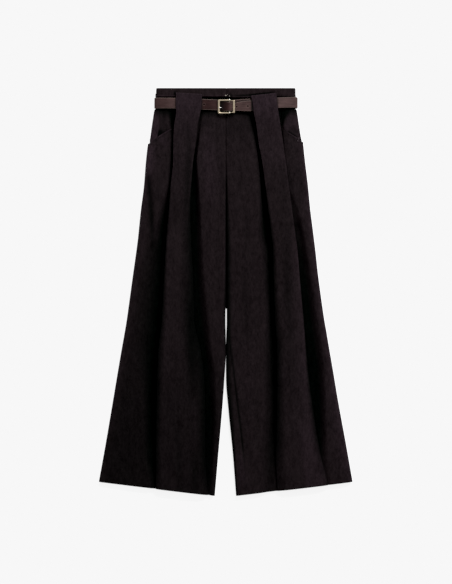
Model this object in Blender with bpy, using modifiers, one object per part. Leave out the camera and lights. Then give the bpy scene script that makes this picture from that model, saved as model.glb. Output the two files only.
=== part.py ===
"""Wide palazzo trousers laid flat on their back, with their leather belt.

Sizes in this file are millimetres and are turned into metres as each mesh is made. +Z is up from the
surface the trousers lie on, +Y runs towards the waist and +X towards the right of someone looking down at
them. The origin is at the middle of the outline, on the surface. Cloth pieces are lofts through
cross-sections of the leg, given a wall by Solidify; every piece of a leg shares the same sections, so the
layers stay clear of each other.
"""

import math

import bmesh
import bpy
import numpy as np
from mathutils import Matrix

MM = 0.001
UPRIGHT = (0, 0, 0)
ALONG_Y = (math.pi / 2, 0, 0)

# Driving sizes.
CLOTH = 1.4  # thickness of the front, back and pocket cloth
PANEL_CLOTH = 1.2  # thickness of the pleat panel's cloth
BAND_CLOTH = 2.2  # folded waistband with its interlining
CLEAR = 0.3  # gap kept between pieces that touch
WAIST_TOP = 528  # y of the waistband's top edge
BAND_HEIGHT = 20
BAND_HALF = 180  # half of the waistband's flat width
BAND_FRONT_Z = 13.3  # middle of the waistband's cloth in front and behind
BAND_BACK_Z = 2.8
BAND_ROLL = 5  # horizontal radius of its turn at the side seam
LEFT_BAND_END = 1.6  # x where the left front band ends, over the right one
LAP_RISES_TO = 9  # x from which the right front band lies at its full height
LAP_COLUMNS = ("x", "drop")  # where and how far the right front band runs on below the left one
LAP_ROWS = ((-32, 2.55), (-16, 2.55), (-2, 2.55), (3.5, 2.45))
BODY_TOP = 516  # y where front and back end, under the waistband
HEM_OUTER = -497  # y of the hem at the outseam
HEM_SLANT = -31  # how much further down the hem reaches at the inseam
SLANT_START = 275  # y below which the cross-sections start to slant
CENTRE = 2  # x of the centre front and centre back

STRAP_WIDTH = 27.2
STRAP_THICK = 2.8
TONGUE_THICK = 1.2  # strap end thinned to wrap the buckle's bar
LOOP_CLOTH = 1.0
LOOP_WIDTH = 12

# The back cloth is lifted off the surface where the belt runs under it.
BELT_LIFT = 4.4
LIFT_FROM = 470
LIFT_TO = 360

# Cross-sections of each leg, from the waist down. y is taken at the outseam. side_fold and centre_fold are
# where the cloth starts to fall towards the pleat, panel_out and panel_in the pleat panel's folded edges.
LEG_COLUMNS = ("y", "outseam", "side_fold", "panel_out", "panel_in", "centre_fold", "inseam")
LEG_ROWS = {
    "left": (
        (516, -184, -146, -128, -60, -57, 1.2),
        (480, -188, -150, -128, -62, -58, 1.2),
        (466, -190, -151, -128, -65, -59, 1.2),
        (431, -197, -149, -133, -72, -66, 1.2),
        (385, -201, -146, -136, -77, -71, 1.2),
        (338, -206, -153, -137, -84, -73, 1.2),
        (275, -211, -157, -144, -90, -71, 1.2),
        (213, -219, -167, -149, -92, -68, 1.0),
        (135, -227, -193, -155, -96, -64, 1.0),
        (41, -240, -203, -158, -96, -58, 1.0),
        (-68, -255, -209, -163, -95, -46, 0.1),
        (-138, -267, -216, -169, -97, -37, 0.9),
        (-208, -279, -216, -172, -84, -34, -2.2),
        (-286, -292, -209, -175, -66, -32, -10.5),
        (-395, -310, -209, -177, -60, -36, -20.4),
        (-497, -328, -193, -172, -55, -42, -28),
    ),
    "right": (
        (516, 184, 142, 132, 66, 63, 2.8),
        (480, 188, 152, 136, 71, 65, 2.8),
        (466, 190, 156, 138, 74, 66, 2.8),
        (431, 196, 153, 145, 81, 70, 2.8),
        (385, 200, 158, 153, 87, 73, 2.8),
        (338, 205, 166, 159, 96, 83, 2.8),
        (275, 213, 176, 167, 105, 89, 2.9),
        (213, 218, 192, 175, 112, 96, 3.4),
        (135, 228, 203, 185, 124, 102, 3.8),
        (41, 239, 218, 194, 133, 106, 4.0),
        (-68, 254, 232, 205, 140, 109, 4.8),
        (-138, 266, 240, 210, 146, 109, 3.0),
        (-208, 278, 248, 215, 146, 111, 2.6),
        (-286, 291, 254, 220, 145, 114, 8.2),
        (-395, 311, 255, 236, 148, 111, 20.2),
        (-497, 328, 267, 259, 145, 105, 28),
    ),
}

# Heights of the cloth's middle above the surface, the panel's crown over its edges, and how far the inner
# edge rolls round: near 0 at the centre front seam, 1 where the leg's edge turns right under.
HEIGHT_COLUMNS = ("y", "side", "panel", "crown", "centre", "inner_roll")
HEIGHT_ROWS = (
    (516, 8.6, 17.9, 0.3, 8.6, 0.10),
    (480, 8.6, 17.9, 0.4, 8.6, 0.10),
    (466, 9.2, 17.9, 0.6, 9.0, 0.10),
    (431, 11.8, 17.2, 1.0, 11.2, 0.12),
    (385, 13.2, 17.6, 1.4, 13.2, 0.16),
    (338, 14.0, 18.5, 1.6, 14.0, 0.25),
    (275, 14.0, 19.5, 1.8, 14.5, 0.48),
    (213, 14.0, 20.5, 2.0, 15.0, 0.85),
    (135, 13.5, 21.0, 2.2, 15.5, 1.0),
    (41, 13.5, 21.5, 2.4, 16.0, 1.0),
    (-68, 14.0, 22.0, 2.5, 16.0, 1.0),
    (-138, 14.5, 22.0, 2.5, 16.0, 1.0),
    (-208, 15.0, 22.0, 2.4, 16.0, 1.0),
    (-286, 15.5, 21.5, 2.2, 15.5, 1.0),
    (-395, 14.5, 20.0, 2.0, 14.0, 1.0),
    (-497, 12.5, 17.5, 1.8, 12.0, 1.0),
)
FOLD_WIDTH = 16  # width of the slope from a crest down to the bottom of the pleat
EDGE_ROLL = 6  # horizontal radius of a leg's rolled edge
RETURN_WIDTH = 18  # cloth folded under at each edge of the pleat panel
TAB_RETURN = 12  # the same where the panel passes over the belt
RETURN_DROPS_FROM = 460
RETURN_DROPS_BY = 400
SECOND_STRAP_LIFT = 3.1  # the right panel passes over two layers of belt
PANEL_TOPS = {"left": (518, 514), "right": (516.6, 509.5)}  # y of its top edge at the outer and inner edge

# Pocket facing: its outline, crest and inner end, and the height of its crest.
FACING_COLUMNS = ("y", "outseam", "side_fold", "inner_end", "crest")
FACING_ROWS = {
    "left": (
        (516, -172, -150, -139.6, 9.4),
        (500, -176, -150, -139.6, 9.4),
        (480, -178, -152, -139.6, 9.4),
        (466, -184, -152, -139.6, 9.5),
        (431, -190, -152, -139.6, 9.8),
        (405, -192, -158, -152, 9.2),
        (378, -187, -162, -156, 8.0),
    ),
    "right": (
        (516, 172, 152, 147.6, 9.4),
        (500, 176, 157, 147.6, 9.4),
        (480, 178.5, 159, 147.6, 9.4),
        (466, 185, 159, 147.6, 9.5),
        (431, 189, 155, 147.6, 9.8),
        (405, 192, 165, 158, 9.2),
        (378, 187, 170, 163, 8.0),
    ),
}
# The slanted pocket mouth: a line from its outer to its inner end, where the cut turns up to the waist.
MOUTH = {
    "left": {"outer": (-201, 392), "inner": (-138, 429)},
    "right": {"outer": (194, 395), "inner": (146, 431)},
}
MOUTH_REACH = 250  # the cut runs out past the outseam and above the body
MOUTH_ABOVE = 30
FACING_TUCKS_FROM = 431  # below this the facing's inner end rises under the front cloth
FACING_TUCKS_BY = 405
FACING_END_DROP = 1.0

FLY_HALF = 18  # half of the fly shield's width
FLY_STATIONS = (BODY_TOP, 470, 450, 431, 410, 385, 360, 330)

BACK_COLUMNS = ("y", "outseam")
BACK_ROWS = ((516, 170), (500, 173), (480, 176), (466, 181), (431, 187), (405, 190), (385, 197))
BACK_LIFT_STATIONS = (450, 410, 370)  # more sections where the back rises over the belt
BACK_INSET = 3  # how far the back stays inside the front's rolled edges
BACK_INSET_GROWS = 1  # and by how much more, over this length below the table's last row
BACK_INSET_LENGTH = 40
CROTCH = 245  # y of the crotch
CROTCH_ABOVE = 10  # the back legs part from this far above it, over a length of
CROTCH_LENGTH = 60

# Belt loops, plain, round the belt's outer side at the back: their path in the YZ plane.
LOOP_AT = {"left": -95, "centre": 0, "right": 95}
LOOP_COLUMNS = ("y", "z")
LOOP_ROWS = (
    (472.5, 3.4),
    (473.0, 2.0),
    (475.0, 0.9),
    (478.0, 0.5),
    (492.0, 0.5),
    (503.0, 0.5),
    (506.0, 0.9),
    (507.0, 1.6),
    (507.4, 2.4),
)

# Hook and bar of the waist closure, seen just under the band's lower edge.
CLOSURE = {
    "waist_hook": {"x": 1.6, "below": 1.6, "size": (7.0, 2.6, 1.0)},
    "waist_bar": {"x": 11.4, "below": 1.8, "size": (5.0, 1.8, 1.0)},
}
CLOSURE_Z = 12.4
CLOSURE_EDGE = 0.3

# Belt route, from the wrap round the buckle's bar, right and round the back, to the punched tip.
BELT_FRONT_Z = 14.0  # middle of the strap where it crosses the front
BELT_BACK_Z = 2.7  # middle of the strap under the back
BELT_TURN_X = {"left": -178.4, "right": 179.4}
BELT_TURN_Y = {"left": 491.0, "right": 493.0}
BELT_BACK_Y = 491.0
BELT_BACK_X = (130, 60, 0, -60, -130)
BUCKLE_Y = 482.0
BELT_COLUMNS = ("x", "y", "z", "width", "thick")
BAR_X = 11.0
BAR_Z = 16.4
BAR_RADIUS = 1.3
BUCKLE_SIDE_ROWS = (
    (16, 482.6, 14.1, STRAP_WIDTH - 2, TONGUE_THICK),
    (19, 482.8, 14.0, STRAP_WIDTH - 1, TONGUE_THICK),
    (24, 483.2, 14.0, STRAP_WIDTH, STRAP_THICK),
    (45, 485.6, 14.0, STRAP_WIDTH, STRAP_THICK),
    (80, 488.4, 14.0, STRAP_WIDTH, STRAP_THICK),
    (125, 491.2, 14.0, STRAP_WIDTH, STRAP_THICK),
)
PUNCHED_ROWS = (
    (-130, 490.6, 14.0, STRAP_WIDTH, STRAP_THICK),
    (-80, 488.4, 14.0, STRAP_WIDTH, STRAP_THICK),
    (-45, 487.0, 14.0, STRAP_WIDTH, STRAP_THICK),
    (-28, 486.4, 14.0, STRAP_WIDTH, STRAP_THICK),
    (-19, 485.8, 13.9, STRAP_WIDTH, STRAP_THICK),
    (-12.5, 484.8, 14.2, STRAP_WIDTH, STRAP_THICK),
    (-6, 483.2, 15.4, STRAP_WIDTH, STRAP_THICK),
    (0, 482.3, 17.2, STRAP_WIDTH, STRAP_THICK),
    (5, 482.0, 19.3, STRAP_WIDTH, STRAP_THICK),
    (10.5, 482.0, 21.1, STRAP_WIDTH, STRAP_THICK),
    (15, 482.0, 20.0, STRAP_WIDTH, STRAP_THICK),
    (20, 482.0, 17.6, STRAP_WIDTH, STRAP_THICK),
    (26, 482.2, 17.1, STRAP_WIDTH, STRAP_THICK),
    (50, 482.6, 17.1, STRAP_WIDTH, STRAP_THICK),
    (80, 483.4, 17.1, STRAP_WIDTH, STRAP_THICK),
    (98, 484.0, 17.1, STRAP_WIDTH - 2, STRAP_THICK),
    (105, 484.2, 17.1, STRAP_WIDTH - 9, STRAP_THICK),
    (108, 484.3, 17.1, STRAP_WIDTH - 18, STRAP_THICK),
)
HOLE_COLUMNS = ("x", "y", "z", "length")
BELT_HOLES = {
    "near": (-55.5, 488.0, 14.0, 6.0),
    "second": (29.2, 483.2, 17.25, 3.4),
    "far": (57.8, 483.4, 17.25, 3.4),
}
HOLE_RADIUS = 1.6
PRONG_SLOT = {"x": -9.5, "y": 481.2, "length": 6.4, "width": 3.6, "low": 10, "high": 22}

# Buckle, in its own plane: x along the belt, y across it.
BUCKLE_AT = (3.35, BUCKLE_Y, 19.7)
BUCKLE_TILT = math.radians(-4.5)  # it rides up on the side where two layers of strap lie under it
BUCKLE_LEFT = -22.75
BUCKLE_RIGHT = 22.75
BUCKLE_HALF = 19.9
BUCKLE_NECK_X = 10.2  # beyond the bar the frame gets slimmer
BUCKLE_NECK_HALF = 17.4
BUCKLE_OPENING_HALF = 14.3
BUCKLE_BAR_WIDTH = 5.7
BUCKLE_THICK = 3.4
BUCKLE_ROUND = 0.5
BUCKLE_CORNER = 0.9  # its corners are cut back by this much
OPENING_CORNER = 0.8
BAR_OVERRUN = 0.8  # the bar runs this far past its posts
POST = {"radius": 1.2, "height": 4.6, "rise": 2.0}
KNOB = {"radius": 1.5, "height": 2.4, "rise": 5.8}

# Prong, from its foot on the bar to its tip on the frame.
PRONG_RADIUS = 1.1
PRONG_COLUMNS = ("x", "z")
PRONG_ROUTE = (
    (7.6, 15.0),
    (4.0, 13.6),
    (-1.0, 12.3),
    (-5.5, 12.3),
    (-8.0, 13.8),
    (-9.9, 16.8),
    (-11.6, 19.8),
    (-14.0, 21.5),
    (-17.0, 21.5),
    (-19.6, 21.2),
)


# ---------------------------------------------------------------- scene, materials and helpers
def clear_scene():
    for obj in list(bpy.data.objects):
        bpy.data.objects.remove(obj, do_unlink=True)


def new_collection(name):
    collection = bpy.data.collections.new(name)
    bpy.context.scene.collection.children.link(collection)
    return collection


def finish(name, colour, roughness, metallic=0.0):
    material = bpy.data.materials.new(name)
    material.use_nodes = True
    shader = material.node_tree.nodes["Principled BSDF"]
    shader.inputs["Base Color"].default_value = (*colour, 1.0)
    shader.inputs["Roughness"].default_value = roughness
    shader.inputs["Metallic"].default_value = metallic
    material.diffuse_color = (*colour, 1.0)
    return material


def values(rows, columns, name):
    """One named column of a table."""
    return np.array([row[columns.index(name)] for row in rows], float)


def column(rows, columns, name, y):
    """One named column at any y: a smooth curve through the rows, with no overshoot between them."""
    ys = values(rows, columns, "y")[::-1]
    heights = values(rows, columns, name)[::-1]
    steps = np.diff(ys)
    slopes = np.diff(heights) / steps
    product = slopes[:-1] * slopes[1:]
    weight = (steps[1:] * slopes[:-1] + steps[:-1] * slopes[1:]) / (steps[1:] + steps[:-1])
    inner = np.where(product > 0, product / np.where(product > 0, weight, 1), 0.0)
    tangents = np.concatenate([slopes[:1], inner, slopes[-1:]])
    y = np.clip(y, ys[0], ys[-1])
    i = np.clip(np.searchsorted(ys, y) - 1, 0, len(steps) - 1)
    t = (y - ys[i]) / steps[i]
    return (
        (2 * t**3 - 3 * t**2 + 1) * heights[i]
        + (t**3 - 2 * t**2 + t) * steps[i] * tangents[i]
        + (3 * t**2 - 2 * t**3) * heights[i + 1]
        + (t**3 - t**2) * steps[i] * tangents[i + 1]
    )


def smoothstep(t):
    t = np.clip(t, 0.0, 1.0)
    return t * t * (3 - 2 * t)


def lift(y):
    """Height of the back cloth's underside: raised over the belt, then down on the surface."""
    return BELT_LIFT * smoothstep((y - LIFT_TO) / (LIFT_FROM - LIFT_TO))


def bed(y):
    """Middle height of front cloth that lies on the back cloth."""
    return lift(y) + CLOTH + CLEAR + CLOTH / 2


def slant(y):
    """How far below the outseam's y a cross-section reaches at the inseam."""
    share = np.clip((SLANT_START - y) / (SLANT_START - HEM_OUTER), 0.0, 1.0)
    return HEM_SLANT * share**1.5


class Leg:
    """Named columns of one leg and the slanted sections that all its pieces share."""

    def __init__(self, side):
        self.side = side
        self.sign = -1 if side == "left" else 1

    def at(self, name, y):
        return column(LEG_ROWS[self.side], LEG_COLUMNS, name, y)

    def height(self, name, y):
        return column(HEIGHT_ROWS, HEIGHT_COLUMNS, name, y)

    def place(self, y, x, z):
        """Section point x, z at outseam height y as a point in space."""
        outseam = self.at("outseam", y)
        share = (x - outseam) / (self.at("inseam", y) - outseam)
        return np.stack([x, y + slant(y) * share, z + 0 * x], axis=-1)


def mesh_object(name, vertices, faces, material, collection):
    mesh = bpy.data.meshes.new(name)
    mesh.from_pydata((np.asarray(vertices, float) * MM).tolist(), [], faces)
    mesh.validate()
    obj = bpy.data.objects.new(name, mesh)
    obj.data.materials.append(material)
    collection.objects.link(obj)
    return obj


def recalculate_normals(obj):
    work = bmesh.new()
    work.from_mesh(obj.data)
    bmesh.ops.recalc_face_normals(work, faces=work.faces)
    work.to_mesh(obj.data)
    work.free()


def grid_faces(rows, columns):
    first = [(r * columns + c) for r in range(rows - 1) for c in range(columns - 1)]
    return [(a, a + 1, a + columns + 1, a + columns) for a in first]


def cloth(name, sections, thickness, material, collection):
    """A loft through sections of equal point counts, given its wall by Solidify about its middle."""
    grid = np.array(sections)
    rows, columns = grid.shape[:2]
    obj = mesh_object(name, grid.reshape(-1, 3), grid_faces(rows, columns), material, collection)
    wall = obj.modifiers.new("wall", "SOLIDIFY")
    wall.thickness = thickness * MM
    wall.offset = 0.0
    wall.use_quality_normals = True
    return obj


def strap(name, route, material, collection):
    """A closed ribbon along a path in the XZ plane, with its width along Y, from a table of BELT_COLUMNS."""
    points = np.stack([values(route, BELT_COLUMNS, axis) for axis in "xyz"], axis=1)
    widths = values(route, BELT_COLUMNS, "width")
    thicknesses = values(route, BELT_COLUMNS, "thick")
    along = np.gradient(points[:, [0, 2]], axis=0)
    along /= np.linalg.norm(along, axis=1)[:, None]
    across = np.stack([-along[:, 1], 0 * along[:, 0], along[:, 0]], axis=1)
    half_thick = across * (thicknesses / 2)[:, None]
    half_wide = np.outer(widths / 2, (0, 1, 0))
    corners = np.stack(
        [
            points - half_thick - half_wide,
            points - half_thick + half_wide,
            points + half_thick + half_wide,
            points + half_thick - half_wide,
        ],
        axis=1,
    )
    count = len(points)
    faces = [
        (4 * i + k, 4 * i + (k + 1) % 4, 4 * i + 4 + (k + 1) % 4, 4 * i + 4 + k)
        for i in range(count - 1)
        for k in range(4)
    ]
    faces += [(0, 1, 2, 3), tuple(4 * (count - 1) + k for k in (3, 2, 1, 0))]
    obj = mesh_object(name, corners.reshape(-1, 3), faces, material, collection)
    recalculate_normals(obj)
    return obj


def cut(obj, cutter):
    cutter.hide_render = True
    cutter.display_type = "WIRE"
    knife = obj.modifiers.new("cut_" + cutter.name, "BOOLEAN")
    knife.operation = "DIFFERENCE"
    knife.object = cutter


def join(obj, other):
    other.hide_render = True
    other.display_type = "WIRE"
    weld = obj.modifiers.new("join_" + other.name, "BOOLEAN")
    weld.operation = "UNION"
    weld.object = other


def prism(name, outline, low, high, collection):
    """An upright prism over a flat outline, used as a cutter."""
    count = len(outline)
    vertices = [(x, y, z) for z in (low, high) for x, y in outline]
    faces = [tuple(range(count)), tuple(range(count, 2 * count))]
    faces += [(k, (k + 1) % count, count + (k + 1) % count, count + k) for k in range(count)]
    obj = mesh_object(name, vertices, faces, finish(name, (0.5, 0.5, 0.5), 0.5), collection)
    recalculate_normals(obj)
    return obj


def to_collection(obj, collection):
    for old in list(obj.users_collection):
        old.objects.unlink(obj)
    collection.objects.link(obj)


def cylinder(name, radius, length, at, turn, material, collection, sides=12):
    bpy.ops.mesh.primitive_cylinder_add(
        vertices=sides,
        radius=radius * MM,
        depth=length * MM,
        location=[v * MM for v in at],
        rotation=turn,
    )
    obj = bpy.context.object
    obj.name = name
    obj.data.materials.append(material)
    to_collection(obj, collection)
    return obj


# ---------------------------------------------------------------- cloth of the legs
def rolled_edge(edge, crest, foot, inward, turn, points=6):
    """Edge that starts at the crest and rolls down and under: an ellipse's arc over turn half-turns.

    Returns x and z from the crest to the end. inward is +1 where the cloth lies at larger x.
    """
    radius = (crest - foot) / 2
    angles = math.pi / 2 - math.pi * turn * np.linspace(0, 1, points)
    reach = EDGE_ROLL * np.cos(angles)
    x = edge + inward * (max(reach) - reach)
    return x, crest - radius + radius * np.sin(angles)


def slope(start, end, high, low, points=5):
    """Cosine slope between two levels."""
    share = np.linspace(0, 1, points)
    return start + (end - start) * share, low + (high - low) * (1 + np.cos(math.pi * share)) / 2


def front_section(leg, y):
    """Outseam roll, side crest, slope into the pleat, its bottom, slope out, centre crest and inner roll."""
    inward = -leg.sign
    side = leg.height("side", y)
    centre = leg.height("centre", y)
    low = bed(y)
    outseam, inseam = leg.at("outseam", y), leg.at("inseam", y)
    side_fold, centre_fold = leg.at("side_fold", y), leg.at("centre_fold", y)
    out_x, out_z = rolled_edge(outseam, side, low, inward, 1.0)
    in_x, in_z = rolled_edge(inseam, centre, low, -inward, leg.height("inner_roll", y))
    down_x, down_z = slope(side_fold, side_fold + inward * FOLD_WIDTH, side, low)
    up_x, up_z = slope(centre_fold - inward * FOLD_WIDTH, centre_fold, low, centre)
    middle_x = np.linspace(down_x[-1], up_x[0], 4)[1:-1]
    x = np.concatenate([out_x[::-1], down_x, middle_x, up_x, in_x])
    z = np.concatenate([out_z[::-1], down_z, 0 * middle_x + low, up_z, in_z])
    return leg.place(y, x, z)


def panel_section(leg, y):
    """The panel's crowned top between two folded edges, and its returns, which fall to the pleat's bottom."""
    inward = -leg.sign
    outer, inner = leg.at("panel_out", y), leg.at("panel_in", y)
    drop = smoothstep((RETURN_DROPS_FROM - y) / (RETURN_DROPS_FROM - RETURN_DROPS_BY))
    extra = SECOND_STRAP_LIFT * (1 - drop) if leg.side == "right" else 0.0
    edge_z = leg.height("panel", y) + extra
    fold = (PANEL_CLOTH + CLEAR) / 2
    under = edge_z - 2 * fold
    rest = bed(y) + CLOTH / 2 + 2 * CLEAR + PANEL_CLOTH / 2
    end_z = under + (rest - under) * drop
    width = TAB_RETURN + (RETURN_WIDTH - TAB_RETURN) * drop
    share = np.linspace(0, 1, 4)[:-1]
    return_x = width * (1 - share)
    return_z = end_z + (under - end_z) * share**1.4
    fold_angles = np.linspace(-math.pi / 2, math.pi / 2, 4)
    fold_x = fold * (1 - np.cos(fold_angles))
    fold_z = edge_z - fold + fold * np.sin(fold_angles)
    across = np.linspace(0, 1, 9)[1:-1]
    crown = leg.height("crown", y) * (4 * across * (1 - across)) ** 0.8
    top_x = outer + inward * fold + (inner - outer - 2 * inward * fold) * across
    x = np.concatenate(
        [
            outer + inward * (return_x + fold),
            outer + inward * fold_x,
            top_x,
            (inner - inward * fold_x)[::-1],
            (inner - inward * (return_x + fold))[::-1],
        ]
    )
    z = np.concatenate([return_z, fold_z, edge_z + crown, fold_z[::-1], return_z[::-1]])
    return leg.place(y, x, z)


def tilt_top(sections, leg):
    """Moves the panel's first section onto its own slanted top edge."""
    outer_y, inner_y = PANEL_TOPS[leg.side]
    top = sections[0]
    share = np.clip((top[:, 0] - top[:, 0].min()) / np.ptp(top[:, 0]), 0, 1)
    share = share if leg.side == "left" else 1 - share
    top[:, 1] = outer_y + (inner_y - outer_y) * share
    return sections


def facing_section(leg, y):
    rows = FACING_ROWS[leg.side]
    inward = -leg.sign
    low = bed(y)
    crest = column(rows, FACING_COLUMNS, "crest", y)
    outseam = column(rows, FACING_COLUMNS, "outseam", y)
    fold = column(rows, FACING_COLUMNS, "side_fold", y)
    end = column(rows, FACING_COLUMNS, "inner_end", y)
    out_x, out_z = rolled_edge(outseam, crest, low, inward, 1.0)
    tucked = smoothstep((FACING_TUCKS_FROM - y) / (FACING_TUCKS_FROM - FACING_TUCKS_BY))
    end_z = low + (crest - FACING_END_DROP - low) * tucked
    down_x, down_z = slope(fold, end, crest, end_z)
    x = np.concatenate([out_x[::-1], [(out_x[0] + fold) / 2], down_x])
    z = np.concatenate([out_z[::-1], [crest], down_z])
    return np.stack([x, np.full_like(x, y), z], axis=-1)


def back_edge(leg, y):
    """The back's outer edge: tabled beside the pocket, and below it inside the front's rolled edge."""
    below = BACK_ROWS[-1][0] - y
    if below <= 0:
        return leg.sign * column(BACK_ROWS, BACK_COLUMNS, "outseam", y)
    inset = BACK_INSET + BACK_INSET_GROWS * min(1.0, below / BACK_INSET_LENGTH)
    return leg.at("outseam", y) - leg.sign * inset


def back_section(leg, y):
    outer = back_edge(leg, y)
    seam = CENTRE + leg.sign * CLEAR
    apart = smoothstep((CROTCH + CROTCH_ABOVE - y) / CROTCH_LENGTH)
    inner = seam + (leg.at("inseam", y) + leg.sign * BACK_INSET - seam) * apart
    x = np.linspace(outer, inner, 9)
    return leg.place(y, x, 0 * x + lift(y) + CLOTH / 2)


def fly_section(y):
    x = np.linspace(CENTRE - FLY_HALF, CENTRE + FLY_HALF, 3)
    return np.stack([x, 0 * x + y, 0 * x + bed(y)], axis=-1)


def make_legs(cloth_finish, parts, cutters):
    rows = [row[0] for row in LEG_ROWS["left"]]
    halfway = [(a + b) / 2 for a, b in zip(rows[3:-1], rows[4:])]
    stations = sorted(rows + halfway, reverse=True)
    for side in ("left", "right"):
        leg = Leg(side)
        front = cloth(
            "front_leg_" + side,
            [front_section(leg, y) for y in stations],
            CLOTH,
            cloth_finish,
            parts,
        )
        cut(front, pocket_cutter(leg, cutters))
        panel_rows = tilt_top([panel_section(leg, y) for y in stations], leg)
        cloth("pleat_panel_" + side, panel_rows, PANEL_CLOTH, cloth_finish, parts)
        facing_rows = [row[0] for row in FACING_ROWS[side]]
        cloth(
            "pocket_facing_" + side,
            [facing_section(leg, y) for y in facing_rows],
            CLOTH,
            cloth_finish,
            parts,
        )
        back_rows = {*rows, *(row[0] for row in BACK_ROWS), *BACK_LIFT_STATIONS}
        cloth(
            "back_leg_" + side,
            [back_section(leg, y) for y in sorted(back_rows, reverse=True)],
            CLOTH,
            cloth_finish,
            parts,
        )
    cloth("fly_shield", [fly_section(y) for y in FLY_STATIONS], PANEL_CLOTH, cloth_finish, parts)


def pocket_cutter(leg, cutters):
    """Everything above the pocket mouth, out past the outseam."""
    outer_x, outer_y = MOUTH[leg.side]["outer"]
    inner_x, inner_y = MOUTH[leg.side]["inner"]
    rise = (inner_y - outer_y) / (inner_x - outer_x)
    beyond = leg.sign * MOUTH_REACH
    top = BODY_TOP + MOUTH_ABOVE
    outline = (
        (beyond, top),
        (beyond, outer_y + rise * (beyond - outer_x)),
        (inner_x, inner_y),
        (inner_x, top),
    )
    return prism("pocket_cutter_" + leg.side, outline, 0, MOUTH_ABOVE, cutters)


# ---------------------------------------------------------------- waistband, closure and loops
def band_path(sign, front, from_x):
    """One layer of the waistband in the XZ plane, flat and then a quarter turn towards the side seam."""
    middle = (BAND_FRONT_Z + BAND_BACK_Z) / 2
    tall = (BAND_FRONT_Z - BAND_BACK_Z) / 2
    angles = np.linspace(math.pi / 2, 0.05, 5)
    roll_x = sign * (BAND_HALF - BAND_CLOTH / 2 - BAND_ROLL + BAND_ROLL * np.cos(angles))
    roll_z = middle + tall * np.sin(angles) * (1 if front else -1)
    flat_x = np.linspace(from_x, roll_x[0], 5)[:-1]
    flat_z = np.full_like(flat_x, roll_z[0])
    return np.concatenate([flat_x, roll_x]), np.concatenate([flat_z, roll_z])


def band(name, x, z, material, collection):
    low, high = WAIST_TOP - BAND_HEIGHT, WAIST_TOP
    sections = [np.stack([x, 0 * x + y, z], axis=-1) for y in (high, (low + high) / 2, low)]
    return cloth(name, sections, BAND_CLOTH, material, collection)


def make_waistband(cloth_finish, parts):
    left_x, left_z = band_path(-1, True, LEFT_BAND_END)
    band("waistband_front_left", left_x, left_z, cloth_finish, parts)
    right_x, right_z = band_path(1, True, LAP_RISES_TO)
    right_x = np.concatenate([values(LAP_ROWS, LAP_COLUMNS, "x"), right_x])
    right_z = np.concatenate([BAND_FRONT_Z - values(LAP_ROWS, LAP_COLUMNS, "drop"), right_z])
    band("waistband_front_right", right_x, right_z, cloth_finish, parts)
    back_left_x, back_left_z = band_path(-1, False, 0)
    back_right_x, back_right_z = band_path(1, False, 0)
    back_x = np.concatenate([back_left_x[::-1], back_right_x[1:]])
    back_z = np.concatenate([back_left_z[::-1], back_right_z[1:]])
    band("waistband_back", back_x, back_z, cloth_finish, parts)


def make_closure(nickel, parts):
    for name, piece in CLOSURE.items():
        y = WAIST_TOP - BAND_HEIGHT - piece["below"]
        bpy.ops.mesh.primitive_cube_add(size=MM, location=(piece["x"] * MM, y * MM, CLOSURE_Z * MM))
        obj = bpy.context.object
        obj.name = name
        obj.data.transform(Matrix.Diagonal((*piece["size"], 1)))
        obj.data.materials.append(nickel)
        to_collection(obj, parts)
        edge = obj.modifiers.new("edge", "BEVEL")
        edge.width = CLOSURE_EDGE * MM
        edge.segments = 2


def make_loops(cloth_finish, parts):
    y = values(LOOP_ROWS, LOOP_COLUMNS, "y")
    z = values(LOOP_ROWS, LOOP_COLUMNS, "z")
    for side, x in LOOP_AT.items():
        edges = (x - LOOP_WIDTH / 2, x + LOOP_WIDTH / 2)
        sections = [np.stack([0 * y + edge, y, z], axis=-1) for edge in edges]
        cloth("belt_loop_" + side, sections, LOOP_CLOTH, cloth_finish, parts)


# ---------------------------------------------------------------- belt and buckle
def smooth_route(rows, spacing=4.0, most=3):
    """Catmull-Rom curve through the rows of a table, all its columns together, in a few steps a row."""
    rows = np.asarray(rows, float)
    padded = np.concatenate([[2 * rows[0] - rows[1]], rows, [2 * rows[-1] - rows[-2]]])
    pieces = []
    for a, b, c, d in zip(padded[:-3], padded[1:-2], padded[2:-1], padded[3:]):
        steps = round(float(np.linalg.norm((c - b)[:3])) / spacing)
        t = np.linspace(0, 1, min(max(steps, 1), most), endpoint=False)[:, None]
        pieces.append(
            0.5 * (2 * b + (c - a) * t + (2 * a - 5 * b + 4 * c - d) * t**2 + (3 * b - a - 3 * c + d) * t**3)
        )
    return np.concatenate(pieces + [rows[-1:]])


def belt_turn(side):
    """Half-turn of the strap round the side of the waist, from front to back."""
    sign = -1 if side == "left" else 1
    middle = (BELT_FRONT_Z + BELT_BACK_Z) / 2
    radius = (BELT_FRONT_Z - BELT_BACK_Z) / 2
    angles = np.linspace(math.pi / 2, -math.pi / 2, 11)
    share = np.linspace(0, 1, 11)
    ones = np.ones(11)
    return np.stack(
        [
            BELT_TURN_X[side] + sign * radius * np.cos(angles),
            BELT_TURN_Y[side] + (BELT_BACK_Y - BELT_TURN_Y[side]) * share,
            middle + radius * np.sin(angles),
            ones * STRAP_WIDTH,
            ones * STRAP_THICK,
        ],
        axis=1,
    )


def bar_wrap():
    """The strap's thinned end, most of a turn round the buckle's bar."""
    radius = BAR_RADIUS + CLEAR + TONGUE_THICK / 2
    angles = np.linspace(math.pi / 2 - 0.15, 3 * math.pi / 2, 8)
    ones = np.ones(8)
    return np.stack(
        [
            BAR_X + radius * np.cos(angles),
            ones * BUCKLE_Y,
            BAR_Z + radius * np.sin(angles),
            ones * (STRAP_WIDTH - 2),
            ones * TONGUE_THICK,
        ],
        axis=1,
    )


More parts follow.
